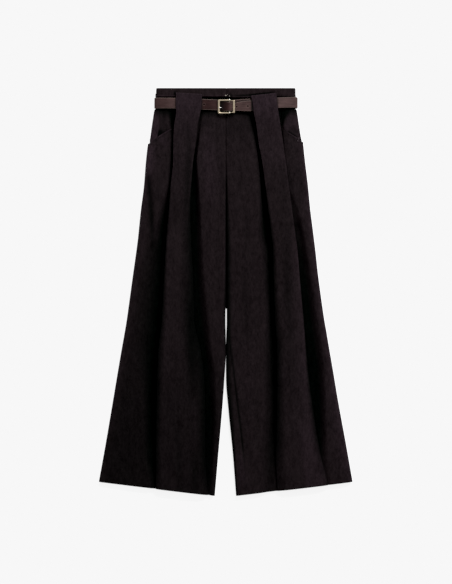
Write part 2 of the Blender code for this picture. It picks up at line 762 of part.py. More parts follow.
def make_belt(leather, parts, cutters):
    back = [(x, BELT_BACK_Y, BELT_BACK_Z, STRAP_WIDTH, STRAP_THICK) for x in BELT_BACK_X]
    route = np.concatenate(
        [
            bar_wrap(),
            smooth_route(BUCKLE_SIDE_ROWS),
            belt_turn("right"),
            back,
            belt_turn("left")[::-1],
            smooth_route(PUNCHED_ROWS),
        ]
    )
    belt = strap("belt_strap", route, leather, parts)
    for name, hole in BELT_HOLES.items():
        x, y, z, length = (hole[HOLE_COLUMNS.index(size)] for size in HOLE_COLUMNS)
        cut(belt, cylinder("hole_" + name, HOLE_RADIUS, length, (x, y, z), UPRIGHT, leather, cutters))
    left, right = (PRONG_SLOT["x"] + end * PRONG_SLOT["length"] / 2 for end in (-1, 1))
    below, above = (PRONG_SLOT["y"] + end * PRONG_SLOT["width"] / 2 for end in (-1, 1))
    outline = ((left, below), (right, below), (right, above), (left, above))
    cut(belt, prism("prong_slot", outline, PRONG_SLOT["low"], PRONG_SLOT["high"], cutters))


def plate(name, outlines, thickness, material, collection):
    """A flat outline with its holes, as a filled 2D curve, extruded and slightly rounded, made a mesh."""
    curve = bpy.data.curves.new(name, "CURVE")
    curve.dimensions = "2D"
    curve.fill_mode = "BOTH"
    curve.extrude = (thickness / 2 - BUCKLE_ROUND) * MM
    curve.bevel_depth = BUCKLE_ROUND * MM
    curve.bevel_resolution = 1
    curve.offset = -BUCKLE_ROUND * MM
    for outline in outlines:
        spline = curve.splines.new("POLY")
        spline.points.add(len(outline) - 1)
        for point, (x, y) in zip(spline.points, outline):
            point.co = (x * MM, y * MM, 0, 1)
        spline.use_cyclic_u = True
    guide = bpy.data.objects.new(name + "_outline", curve)
    collection.objects.link(guide)
    bpy.context.view_layer.update()
    mesh = bpy.data.meshes.new_from_object(guide.evaluated_get(bpy.context.evaluated_depsgraph_get()))
    bpy.data.objects.remove(guide, do_unlink=True)
    work = bmesh.new()
    work.from_mesh(mesh)
    bmesh.ops.remove_doubles(work, verts=work.verts, dist=1e-6)
    bmesh.ops.recalc_face_normals(work, faces=work.faces)
    work.to_mesh(mesh)
    work.free()
    mesh.materials.clear()
    mesh.materials.append(material)
    obj = bpy.data.objects.new(name, mesh)
    collection.objects.link(obj)
    return obj


def chamfered(corners, size):
    """An outline with each corner cut back into two points."""
    corners = np.asarray(corners, float)
    result = []
    for before, corner, after in zip(np.roll(corners, 1, 0), corners, np.roll(corners, -1, 0)):
        for other in (before, after):
            toward = (other - corner) / np.linalg.norm(other - corner)
            result.append(tuple(corner + toward * size))
    return result


def buckle_outlines():
    """The frame's outside, slimmer beyond the bar, and its opening."""
    step = ((BUCKLE_LEFT, BUCKLE_HALF), (BUCKLE_NECK_X, BUCKLE_HALF), (BUCKLE_NECK_X, BUCKLE_NECK_HALF))
    upper = (*step, (BUCKLE_RIGHT, BUCKLE_NECK_HALF))
    outer = (*((x, -y) for x, y in upper), *reversed(upper))
    left, right = BUCKLE_LEFT + BUCKLE_BAR_WIDTH, BUCKLE_RIGHT - BUCKLE_BAR_WIDTH
    inner = (
        (left, -BUCKLE_OPENING_HALF),
        (right, -BUCKLE_OPENING_HALF),
        (right, BUCKLE_OPENING_HALF),
        (left, BUCKLE_OPENING_HALF),
    )
    return chamfered(outer, BUCKLE_CORNER), chamfered(inner, OPENING_CORNER)


def make_frame(gold, parts, cutters):
    """The buckle's frame with its centre bar below it, each end of the bar on a post under a knob."""
    frame = plate("buckle_frame", buckle_outlines(), BUCKLE_THICK, gold, parts)
    frame.location = [v * MM for v in BUCKLE_AT]
    frame.rotation_euler = (0, BUCKLE_TILT, 0)
    reach = (BUCKLE_OPENING_HALF + BUCKLE_NECK_HALF) / 2
    length = 2 * (reach + BAR_OVERRUN)
    join(frame, cylinder("centre_bar", BAR_RADIUS, length, (BAR_X, BUCKLE_Y, BAR_Z), ALONG_Y, gold, cutters))
    for end, y in (("lower", BUCKLE_Y - reach), ("upper", BUCKLE_Y + reach)):
        for kind, size in (("post", POST), ("knob", KNOB)):
            at = (BAR_X, y, BAR_Z + size["rise"])
            join(frame, cylinder(f"{kind}_{end}", size["radius"], size["height"], at, UPRIGHT, gold, cutters))


def make_prong(steel, parts):
    curve = bpy.data.curves.new("buckle_prong", "CURVE")
    curve.dimensions = "3D"
    curve.bevel_depth = PRONG_RADIUS * MM
    curve.bevel_resolution = 2
    curve.use_fill_caps = True
    spline = curve.splines.new("POLY")
    spline.points.add(len(PRONG_ROUTE) - 1)
    route = zip(values(PRONG_ROUTE, PRONG_COLUMNS, "x"), values(PRONG_ROUTE, PRONG_COLUMNS, "z"))
    for point, (x, z) in zip(spline.points, route):
        point.co = (x * MM, PRONG_SLOT["y"] * MM, z * MM, 1)
    curve.materials.append(steel)
    parts.objects.link(bpy.data.objects.new("buckle_prong", curve))


def main():
    clear_scene()
    parts = new_collection("palazzo_trousers")
    cutters = new_collection("cutters")
    cutters.hide_render = True
    cloth_finish = finish("aubergine_black_cloth", (0.014, 0.010, 0.012), 0.85)
    leather = finish("dark_brown_leather", (0.055, 0.034, 0.032), 0.45)
    gold = finish("champagne_gold", (0.62, 0.52, 0.38), 0.25, 1.0)
    nickel = finish("nickel", (0.6, 0.6, 0.6), 0.3, 1.0)
    steel = finish("brushed_nickel_prong", (0.62, 0.6, 0.58), 0.3, 1.0)
    make_legs(cloth_finish, parts, cutters)
    make_waistband(cloth_finish, parts)
    make_closure(nickel, parts)
    make_loops(cloth_finish, parts)
    make_belt(leather, parts, cutters)
    make_frame(gold, parts, cutters)
    make_prong(steel, parts)


main()
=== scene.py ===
"""Wide pleated trousers laid flat, front up, with their belt, in soft studio light, seen from above.

Sizes are millimetres in the trousers' own frame and become metres as each mesh is made: +Z is up from
the surface they lie on, +Y runs towards the waist, +X towards the right. Every cloth piece is a grid of
points worked out from the leg's cross-sections, so neighbours follow each other's folds.

A pair such as (360, 110) after a name is a stretch: the level where it starts, and the length over which
it becomes complete, upwards or downwards as the functions above and below say.
"""

import math

import bmesh
import bpy
import numpy as np
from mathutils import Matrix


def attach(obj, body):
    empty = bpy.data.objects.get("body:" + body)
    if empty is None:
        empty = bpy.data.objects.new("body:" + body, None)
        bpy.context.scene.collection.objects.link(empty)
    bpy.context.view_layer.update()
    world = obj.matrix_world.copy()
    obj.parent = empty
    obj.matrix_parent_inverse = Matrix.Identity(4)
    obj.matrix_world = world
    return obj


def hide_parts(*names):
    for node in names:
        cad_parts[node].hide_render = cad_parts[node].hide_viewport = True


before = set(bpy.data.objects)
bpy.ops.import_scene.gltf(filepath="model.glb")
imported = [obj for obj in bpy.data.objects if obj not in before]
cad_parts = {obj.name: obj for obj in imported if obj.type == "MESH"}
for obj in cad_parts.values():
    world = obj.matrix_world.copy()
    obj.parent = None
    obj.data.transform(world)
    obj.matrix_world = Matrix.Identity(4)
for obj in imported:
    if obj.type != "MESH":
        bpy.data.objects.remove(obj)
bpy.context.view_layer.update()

MM = 0.001

# ---------------------------------------------------------------- sizes of the cloth, in millimetres
CLOTH = 1.4
PANEL_CLOTH = 1.2
CLEAR = 0.3
WAIST_TOP = 530
BAND_HEIGHT = 22
BAND_CLOTH = 2.2
BAND_HALF = {"left": 180, "right": 183}
BAND_FRONT_Z = 13.3
BAND_BACK_Z = 2.8
BAND_ROLL = 5
# The angle at which each layer's roll round the side ends, and where the front layers start at the centre.
BAND_ENDS_AT = {"front": -0.25, "back": 0.6}
LEFT_BAND_END = 1.6
LAP_RISES_TO = 9
LAP_COLUMNS = ("x", "drop")
LAP_ROWS = ((-32, 2.55), (-16, 2.55), (-2, 2.55), (3.5, 2.45))

# The right front band sags where the buckle hangs from it, and lies in shadow beside the left one's end.
BAND_SAG = 2.3
BAND_SAG_FROM = (8, 6)
BAND_SAG_TO = (96, 30)
LAP_SHADE = 0.55
LAP_SHADE_FROM = (4, 3)
LAP_SHADE_TO = (22, 6)
LAP_SHADE_TOP = (516, 4)
# Its painted highlights along the edges: how far above the lower edge that lip lies, and the strength
# and width of both.
BAND_LIP_AT = 2
BAND_LIP = (0.5, 1.6)
BAND_TOP_LIP = (0.25, 2.0)
BAND_POINTS = 56
BAND_SQUARENESS = 6.0
LAP_COLUMNS_FINE = 16
BODY_TOP = 516
HEM_OUTER = -494.6
HEM_SLANT = -36
HEM_DEEP = 38
HEM_RIDGE = 0.5
HEM_RIDGE_OVER = 3
SLANT_START = 275
SLANT_CURVE = 1.5
CENTRE = 2
BELT_LIFT = 4.4
LIFT_RISES = (360, 110)

# Cross-sections of each leg from the waist down: where its edges, crests and the pleat panel's edges run,
# how wide the slopes into the pleat are, and how far in from each edge the panel is soft instead of
# sharply folded.
LEG_COLUMNS = (
    "y", "outseam", "side_fold", "side_slope", "panel_out", "out_soft",
    "panel_in", "in_soft", "centre_fold", "centre_slope", "inseam",
)
LEG_ROWS = {
    "left": (
        (516, -184, -146, 10, -128, 0, -60, 0, -57, 8, 1.2),
        (480, -188, -150, 10, -128, 0, -62, 0, -57, 8, 1.2),
        (466, -190, -151, 10, -128, 0, -65, 0, -57, 8, 1.2),
        (431, -197, -149, 10, -133, 0, -72, 0, -61.5, 7, 1.2),
        (385, -201, -145, 10, -135, 0, -77, 0, -67.5, 6, 1.2),
        (338, -206, -148, 10, -135.5, 0, -84, 0, -72.5, 6, 1.2),
        (275, -211, -153.5, 11, -142, 2, -89, 2, -66, 12, 1.2),
        (213, -219, -174, 18, -147, 5, -92, 6, -62, 14, 1.0),
        (182, -222.2, -180, 16, -149.6, 5, -91.2, 14, -60.4, 15, 1.0),
        (140, -226.5, -192, 23, -153.1, 5, -90.1, 26, -58.3, 17, 1.0),
        (105, -231, -217, 46, -155.3, 6, -88.4, 30, -56, 18, 1.0),
        (41, -240, -224, 49, -159, 8, -85, 36, -52, 20, 1.0),
        (-68, -255, -236, 51, -165, 13, -82, 43, -40, 23, -0.3),
        (-99, -260, -238, 50, -168, 14, -76, 47, -37, 22, 0.5),
        (-138, -267, -240, 48, -173.5, 17, -66, 47, -33, 20, 1.2),
        (-208, -279, -228, 32, -177, 18, -56, 36, -22, 23, -3.0),
        (-286, -292, -216, 18, -179, 17, -53.5, 24, -21, 17, -8.9),
        (-395, -310.5, -214, 17, -181, 16, -53, 24, -27, 12, -19.0),
        (-494.6, -328.5, -196, 15, -180, 16, -46, 26, -32, 12, -28),
    ),
    "right": (
        (516, 187, 142, 10, 132, 0, 67, 0, 52, 12, 2.8),
        (480, 190.5, 152, 10, 136, 0, 72.4, 0, 52, 12, 2.8),
        (466, 192.5, 156, 10, 138, 0, 74, 0, 52, 13, 2.8),
        (431, 198.5, 153, 10, 143.5, 0, 81, 0, 60, 13, 2.8),
        (385, 202.5, 155.5, 10, 150.5, 0, 87, 0, 72, 12, 2.8),
        (338, 207.5, 160, 10, 157, 0, 96, 0, 81, 8, 2.8),
        (275, 215, 169, 11, 165, 0, 104, 2, 85, 9, 2.9),
        (252, 217.2, 176, 12, 168.2, 0, 106.6, 3.5, 85.4, 10, 3.1),
        (213, 221, 194, 17, 173, 0, 111, 6, 86, 12, 3.4),
        (161, 227.6, 206, 17, 180, 0, 118, 8, 83.5, 18, 3.7),
        (105, 234.5, 217, 19, 187.5, 0, 124, 9, 90.5, 22, 4.0),
        (41, 241.5, 228, 20, 193, 2, 125, 12, 94, 20, 4.2),
        (-68, 256.5, 243, 22, 203, 2, 129, 18, 102, 16, 4.6),
        (-99, 262, 248, 23, 205.5, 2, 131, 20, 101, 18, 3.4),
        (-138, 268.5, 255, 24, 208.5, 3, 134, 23, 100, 20, 2.3),
        (-208, 280.5, 262, 22, 215, 7, 134.5, 18, 96, 26, 2.8),
        (-286, 293.5, 265, 21, 225.5, 13, 134, 25, 98, 27, 9.2),
        (-395, 313.5, 266, 18, 243, 17, 132, 28, 90, 29, 20.8),
        (-494.6, 331, 276, 14, 267, 12, 136, 33, 88, 24, 29),
    ),
}
# How much shade is painted into each leg's pleats: beside the side seam and beside the centre.
PLEAT_COLUMNS = ("y", "side", "centre")
PLEAT_ROWS = {
    "left": (
        (516, 1, 1),
        (470, 1, 1),
        (447, 1, 0.72),
        (408, 1, 0.42),
        (375, 1, 0.88),
        (350, 1, 1),
        (-208, 1, 0.97),
        (-450, 0.95, 0.88),
        (-494.6, 0.70, 0.45),
    ),
    "right": (
        (516, 1, 1),
        (431, 0.7, 1),
        (400, 0.75, 1),
        (369, 0.42, 1),
        (291, 0.36, 1),
        (252, 0.30, 1),
        (226, 0.60, 1),
        (200, 0.60, 1),
        (160, 0.68, 1),
        (109, 0.85, 1),
        (41, 0.97, 0.97),
        (-68, 1, 0.92),
        (-286, 1, 0.88),
        (-395, 0.96, 0.80),
        (-463, 0.42, 0.55),
        (-494.6, 0.28, 0.42),
    ),
}

# How far each pleat opens out towards the hem, and the one at the side at the hip: 0 stays a full fold, 1
# lies flat.
FOLD_OPENING = (-300, 200)
FOLD_OPENS = {
    ("left", "side"): 0.55,
    ("left", "centre"): 0.5,
    ("right", "side"): 0.75,
    ("right", "centre"): 0.42,
}
HIP_OPENS = {"left": 0.0, "right": 0.6}
HIP_FOOT = (160, 55)
HIP_TOP = (310, 40)

# Heights of the cloth's middle, and how far the inner edge rolls round (1 is a half turn).
HEIGHT_COLUMNS = ("y", "side", "panel", "crown", "centre", "inner_roll")
HEIGHT_ROWS = (
    (516, 8.6, 17.9, 0.3, 8.6, 0.10),
    (480, 8.6, 17.9, 0.4, 8.6, 0.10),
    (466, 9.2, 17.9, 0.6, 9.0, 0.10),
    (431, 11.8, 17.2, 1.0, 11.2, 0.12),
    (385, 13.2, 17.6, 1.4, 13.2, 0.16),
    (338, 14.0, 18.5, 1.6, 14.0, 0.25),
    (275, 14.0, 19.5, 1.8, 14.5, 0.48),
    (213, 14.0, 20.5, 2.0, 15.0, 0.85),
    (135, 13.5, 21.0, 2.2, 15.5, 1.0),
    (41, 13.5, 21.5, 2.4, 16.0, 1.0),
    (-68, 14.0, 22.0, 2.5, 16.0, 1.0),
    (-138, 14.5, 22.0, 2.5, 16.0, 1.0),
    (-208, 15.0, 22.0, 2.4, 16.0, 1.0),
    (-286, 15.5, 21.5, 2.2, 15.5, 1.0),
    (-395, 14.5, 20.0, 2.0, 14.0, 1.0),
    (-497, 12.5, 17.5, 1.8, 12.0, 1.0),
)
EDGE_ROLL = 6

# The front's outer stretch sinks towards the side seam, by more where it is wide, and both its crests puff
# up a little.
SHOULDER_SINKS = 2.4
SHOULDER_WIDTH = 40
FLAT_PUFF = 0.5
CENTRE_PUFF = 0.7

# The panel's returns under it, how far the punched strap's end lifts it, and the slant of its top edge.
RETURN_WIDTH = 18
TAB_RETURN = 12
RETURN_DROPS = (460, 60)
RETURN_CURVE = 1.4
CROWN_CURVE = 0.8
CREASES_START_OVER = 10
SECOND_STRAP_LIFT = {"left": 0.0, "right": 3.1}
PANEL_TOPS = {"left": (518, 514), "right": (516.6, 509.5)}
TILT_OVER = 24

FACING_COLUMNS = ("y", "outseam", "side_fold", "inner_end", "crest")
FACING_ROWS = {
    "left": (
        (516, -181, -150, -139.6, 9.4),
        (507, -181, -150, -139.6, 9.4),
        (499, -176, -150, -139.6, 9.4),
        (480, -178, -152, -139.6, 9.4),
        (472, -184, -152, -139.6, 9.5),
        (431, -190.5, -152, -139.6, 9.8),
        (405, -194, -158, -152, 9.2),
        (392, -196, -160, -154, 8.6),
        (378, -193, -162, -156, 8.0),
    ),
    "right": (
        (516, 182, 152, 147.6, 9.4),
        (507, 183, 157, 147.6, 9.4),
        (499, 177, 157, 147.6, 9.4),
        (480, 178.5, 159, 147.6, 9.4),
        (472, 185.5, 159, 147.6, 9.5),
        (431, 191.8, 155, 147.6, 9.8),
        (405, 196, 165, 158, 9.2),
        (392, 198.5, 168, 161, 8.6),
        (378, 196, 170, 163, 8.0),
    ),
}
# Each slanted pocket mouth, from its outer end to its inner one, and where finer rows start and end.
MOUTH = {
    "left": ((-199, 385), (-174, 404.5), (-138, 427)),
    "right": ((198, 390), (189, 400), (160.6, 417), (146, 426)),
}
MOUTH_TOP = 434
MOUTH_FOOT = 378
FACING_TUCKS = (431, 26)
FACING_TUCK_DEPTH = 1.0
FACING_EDGE_FLAT = 4
FLY_HALF = 18
FLY_COLUMNS = 12
FLY_END = 330

BACK_COLUMNS = ("y", "outseam")
BACK_ROWS = (
    (516, 178),
    (507, 179),
    (499, 173),
    (480, 176),
    (466, 181),
    (431, 187),
    (405, 190),
    (385, 197),
)
BACK_INSET = 3
BACK_INSET_GROWS = 1
BACK_INSET_LENGTH = 40
LEGS_PART = -33
PARTING_LENGTH = 10
BACK_LAP = 0.15
BACK_EDGE_FLAT = 12

# Rows and columns of the grids: the step between rows, and how many points each stretch across gets.
LEG_STEP = 4.0
MOUTH_STEP = 1.2
FACING_STEP = 1.8
BACK_STEP = 5.0
BAND_STEP = 2.5
ROLL_COLUMNS = 14
FLAT_COLUMNS = 24
SLOPE_COLUMNS = 18
BOTTOM_COLUMNS = 12
CENTRE_COLUMNS = 30
END_COLUMNS = 16
RETURN_COLUMNS = 12
FOLD_COLUMNS = 8
TOP_COLUMNS = 60
FACING_FLAT_COLUMNS = 36
FACING_SLOPE_COLUMNS = 16
# Beside the mouth, a section's own columns start after its first few, and the next few are squeezed.
ROLLED = 7
SQUEEZED = 4

# Soft creases, as x0, y0, x1, y1, bow, width, rise and shade: a line from end to end that bows sideways,
# its half width, its height (a trough is below 0), and the shade painted in it (below 0, painted
# highlight).
ARCH_POWER = 0.7
FRONT_CREASES = (
    # left leg, beside the outseam
    (-203.5, 318, -191, 95, -4.3, 8, -3.2, 0.85),
    (-202, 328, -198, 252, -1, 7, -0.6, 0.34),
    (-209, 380, -204, 298, 0, 20, 0.6, -0.62),
    (-176, 300, -170, 215, 0, 12, 0.0, 0.15),
    (-194, 366, -164, 346, 3, 7, -1.0, 0.06),
    (-192, 390, -176, 395, 0, 5, -1.2, 0.35),
    (-172, 404, -146, 378, 0, 10, 0.7, -0.45),
    (-240, -150, -285, -420, -8, 22, -1.8, 0.0),
    # left leg, centre
    (-46, 440, -38, 225, 0, 22, 1.2, -0.40),
    (-40, 300, -28, -40, 4, 16, 1.4, -0.05),
    (-16, 180, -20, -120, 3, 8, -1.2, 0.10),
    # right leg, centre
    (54, 80, 60, -150, 4, 11, -1.6, 0.30),
    (54, 230, 50, 70, -3, 10, -1.0, 0.22),
    (38, 250, 44, -60, -5, 14, 1.2, 0.0),
    (62, -120, 78, -430, 8, 16, 1.4, -0.05),
    (46, -250, 66, -480, 6, 12, -1.2, 0.10),
    (78, -250, 84, -420, 0, 10, -0.8, 0.18),
    # right leg, beside the outseam
    (176, 380, 196, 350, 3, 9, -1.8, 0.05),
    (190, 402, 202, 372, 0, 6, 1.2, -0.1),
    (192, 345, 202, 225, 2, 13, -1.0, 0.22),
    (160, 350, 186, 205, 4, 7, -0.8, 0.34),
    (38, -400, 46, -510, 0, 12, 0.8, -0.35),
)
# The seat and the backs of the legs, where the front stands clear above them: they only rise.
# Their shade is painted on the back cloth.
BACK_CREASES = (
    (-182, 330, -160, 225, 4, 8, 1.8, 0.2),
    (-196, 425, -170, 350, -3, 7, 1.3, 0.15),
    (-44, 400, -26, 250, 5, 9, 1.9, 0.2),
    (-30, 225, -18, 60, -4, 8, 1.7, 0.2),
    (-22, 40, -34, -130, 3, 7, 1.4, 0.15),
    (-262, -180, -250, -330, 6, 10, 1.8, 0.2),
    (-244, -330, -276, -455, -4, 9, 1.3, 0.15),
    (186, 340, 176, 240, -4, 8, 1.6, 0.2),
    (48, 390, 34, 265, -5, 10, 1.9, 0.2),
    (30, 240, 52, 80, 4, 9, 1.6, 0.15),
    (60, 60, 48, -110, -3, 8, 1.8, 0.2),
    (56, -150, 74, -330, 5, 10, 1.5, 0.2),
    (284, -250, 296, -440, -5, 9, 1.7, 0.2),
)
PANEL_CREASES = (
    # left panel
    (-93, 445, -109, 120, -3, 9, -1.6, 0.58),
    (-118, 330, -134, -30, 4, 14, 0.9, 0.0),
    (-122, 260, -130, 150, 2, 16, -0.6, 0.16),
    (-93, 20, -84, -310, 0, 15, -2.0, 0.72),
    (-76, -60, -72, -260, -2, 7, 1.4, -0.10),
    (-84, -260, -74, -400, 0, 9, 1.0, -0.05),
    (-80, -400, -78, -560, 0, 10, -1.4, 0.55),
    (-122, -330, -114, -560, 3, 9, -1.2, 0.30),
    (-152, -240, -150, -330, 0, 12, -1.0, 0.10),
    # right panel
    (162, 175, 170, -135, 5, 13, -1.8, 0.50),
    (150, 300, 158, 80, -3, 14, 0.9, 0.0),
    (150, 330, 156, 120, 0, 24, -0.4, 0.14),
    (164, -90, 176, -300, 0, 22, -0.6, 0.22),
    (198, -330, 216, -530, -4, 12, 1.2, -0.32),
    (222, -455, 238, -550, 0, 20, 0.0, -0.18),
    (104, 480, 114, 380, 3, 9, -0.8, 0.15),
)
BAND_CREASES = (
    (16, 509.5, 130, 520.5, 2, 2.2, -0.8, 0.95),
    (-132, 500, -130.5, 524, 0, 3.0, -0.6, 1.4),
    (60, 507.5, 136, 518.5, 0, 3.0, -0.5, 0.9),
    (14, 509, 176, 509.5, 0, 2.4, -0.5, 0.35),
)
FACING_CREASES = (
    (-161.5, 476, -163, 430, 0, 4, -1.2, 0.26),
    (166, 470, 172, 425, -2, 7, 1.0, -0.05),
    (184, 424, 198, 402, 0, 8, -0.8, 0.22),
    (166, 429, 190, 413, 0, 7, -0.6, 0.42),
)

# ---------------------------------------------------------------- tones of the cloth: painted shade and highlights
# Where each pocket facing comes out of the panel's shadow: a point of that edge, its slope and its fade.
FACING_LIT = {"left": (-150, 452, -0.15, 9), "right": (166, 452, -0.41, 13)}
# The highlight painted on each facing: how strong, how far from the centre that strip starts, its rim along
# the edge, and below which height it dulls.
FACING_GLOW = {"left": 0.78, "right": 0.50}
FACING_STRIP = {"left": (170.5, 5), "right": (150, 6)}
FACING_RIM = {"left": 0.8, "right": 0.5}
FACING_RIM_WIDTH = 7
FACING_DULLS = {"left": 300, "right": 428}
FACING_DULLS_OVER = 14
FACING_DULL_SHARE = 0.8
# The shadow in each mouth. Left: a triangle below a level line and inside the lit strip, whose edge leans
# outwards on the way down. Right: a wedge above the mouth's line that narrows outwards.
TRIANGLE_TOP = (428, 12)
TRIANGLE_OUT = (174.8, 2.5)
TRIANGLE_LEAN = 0.14
TRIANGLE_LEANS_FROM = 427
TRIANGLE_DARKENS = (152, 20)
TRIANGLE_IN = (146, 8)
TRIANGLE_SHADE = 0.5
TRIANGLE_SHADE_GROWS = 0.48
WEDGE_STARTS = 1.5
WEDGE_WIDTH = 4.2
WEDGE_NARROWS = 0.05
WEDGE_IN = (161, 6)
WEDGE_OUT = (190, 3)
WEDGE_SHADE = 0.98
# The mouth's folded lip, which rises and carries a painted highlight: its rise, its middle beside the line,
# its width, and between which distances from the centre it stands out.
LIP_RISE = 0.5
LIP_AT = 1
LIP_WIDTH = 2.0
LIP_FROM = {"left": (0, 1), "right": (160, 6)}
LIP_TO = {"left": (175, 3), "right": (189, 4)}
# The panel's painted highlight: from the hip up and most over the belt, along sharp edges, and beside the
# outer edge lower down.
PANEL_PALE = {"left": 0.12, "right": 0.24}
PANEL_PALE_FROM = (300, 60)
HIP_PALE = 0.10
HIP_PALE_FROM = (395, 40)
BELT_PALE = 0.50
BELT_PALE_FROM = (425, 75)
OUTER_LIP = 0.3
INNER_LIP = 0.1
PANEL_LIP_WIDTH = 2.4
LIP_SOFT = 5
PANEL_OUTER_GLOW = {"left": 0.06, "right": 0.42}
PANEL_GLOW_FROM = (190, 120)
PANEL_GLOW_WIDTH = 18
# The highlight painted along the outseam as a paler rim. Left: stronger and wider on the upper leg, most
# at the hip, and weaker at the hem. Right: with a broad glow that grows on the lower leg, both weaker
# at the hem.
RIM_WIDTH = 6
RIM_LEFT = 0.4
RIM_GROWS = 0.5
RIM_WIDENS = 5
RIM_UPPER = (150, 150)
RIM_LOWER = (-300, 90)
RIM_HIP = 0.6
RIM_HIP_FOOT = (315, 35)
RIM_HIP_TOP = (388, 12)
RIM_RIGHT = 1.1
GLOW_UPPER = 0.2
GLOW_GROWS = 0.5
GLOW_WIDTH = 16
GLOW_LOWER = (-180, 80)
GLOW_ENDS = (-380, 100)
GLOW_END_LOSES = 0.5
# Shadows on the cloth: below the belt, beside the panel's top, on the left leg towards the hem, and beside
# its panel.
BELT_SHADE = 0.9
BELT_SHADOW = (448, 24)
PANEL_SHADE = 0.95
PANEL_SHADOW = (428, 6)
PANEL_SHADOW_REACH = 4
LEG_DIMS = {"left": 0.35, "right": 0.0}
LEG_DIMS_FROM = (-60, 300)
SIDE_DIMS = {"left": 0.38, "right": 0.0}
SIDE_DIMS_FROM = (200, 210)
SIDE_DIMS_OVER = 26
# On the back: the shadow beside the seat's seam, and the strip that each panel covers.
SEAT_SEAM_WIDTH = 14
COVERED_FROM = (420, 10)
UNDER_PANEL = (128, 158)
# A crease's painted highlight makes the cloth paler by half at most. A painted highlight mark of 1 makes it
# paler by 0.9, and none goes above the last value.
MOST_PALE = -0.5
HIGHLIGHT_LIGHTENS = 0.9
MOST_HIGHLIGHT = 1.5
# How far the shadow between the legs reaches onto each one's inner edge, and how much dimmer each centre
# front is just below the belt.
GAP_SHADE = 0.97
GAP_STARTS = (330, 60)
GAP_COLUMNS = ("y", "left", "right")
GAP_ROWS = (
    (343, 1, 2),
    (291, 1.5, 3.5),
    (213, 2, 7.5),
    (161, 2, 10.5),
    (109, 2, 12.5),
    (-21, 4, 13),
    (-138, 4.5, 12.5),
    (-190, 0.5, 15),
    (-281, 0.5, 16),
    (-385, 0.5, 9),
    (-476, 0.5, 5),
)
BELT_DIMS = {"left": 0.08, "right": 0.23}
BELT_DIMS_FROM = (375, 55)
# The right leg's inseam shows as a thin line where the back wraps a little way to the front.
INSEAM_LINE = ((7, -73), (15, -151), (30.6, -281), (43.5, -385), (49, -440), (52, -478))
INSEAM_WIDTH = 2.6
INSEAM_SINKS = 0.9
INSEAM_SHADE = 0.95

# A soft panel edge sinks this far for each millimetre that its softness reaches in, and TINY keeps a sharp
# one from dividing by 0. Its shade fades near the hem: from this y, by this much at the outer edge and at
# the inner one.
SOFT_SINK = 0.2
TINY = 0.01
EDGE_SHADE = 0.97
EDGE_FADES = {"left": (-420, 0.45, 0.6), "right": (-370, 0.4, 0.45)}
EDGE_FADE_OVER = 90

# ---------------------------------------------------------------- sizes of the belt and buckle
STRAP_WIDTH = 27.2
STRAP_THICK = 2.8
TONGUE_THICK = 1.2
LOOP_CLOTH = 1.0
LOOP_WIDTH = 12
LOOP_AT = {"left": -95, "centre": 0, "right": 95}
LOOP_ROWS = (
    (472.5, 3.4),
    (473.0, 2.0),
    (475.0, 0.9),
    (478.0, 0.5),
    (492.0, 0.5),
    (503.0, 0.5),
    (506.0, 0.9),
    (507.0, 1.6),
    (507.4, 2.4),
)
BELT_FRONT_Z = 14.0
BELT_BACK_Z = 2.7
BELT_TURN_X = {"left": -177.4, "right": 181.4}
BELT_TURN_Y = {"left": 491.0, "right": 493.0}
BELT_BACK_Y = 491.0
BUCKLE_Y = 482.0
# The strap's middle line, its width and thickness, the sheen painted on its face, and its painted shadow.
BELT_COLUMNS = ("x", "y", "z", "width", "thick", "painted_sheen", "shadow")
BUCKLE_SIDE_ROWS = (
    (16, 483.2, 14.1, STRAP_WIDTH - 2, TONGUE_THICK, 0.4, 0),
    (19, 484.2, 14.0, STRAP_WIDTH - 1, TONGUE_THICK, 0.4, 0),
    (24, 485.6, 14.0, STRAP_WIDTH, STRAP_THICK, 0.5, 0),
    (34, 486.8, 14.0, STRAP_WIDTH, STRAP_THICK, 0.5, 0),
    (45, 487.4, 14.0, STRAP_WIDTH, STRAP_THICK, 0.5, 0),
    (80, 489.0, 14.0, STRAP_WIDTH, STRAP_THICK, 0.6, 0),
    (125, 491.2, 14.0, STRAP_WIDTH, STRAP_THICK, 0.8, 0),
    (140, 491.8, 14.0, STRAP_WIDTH, STRAP_THICK, 1.0, 0),
)
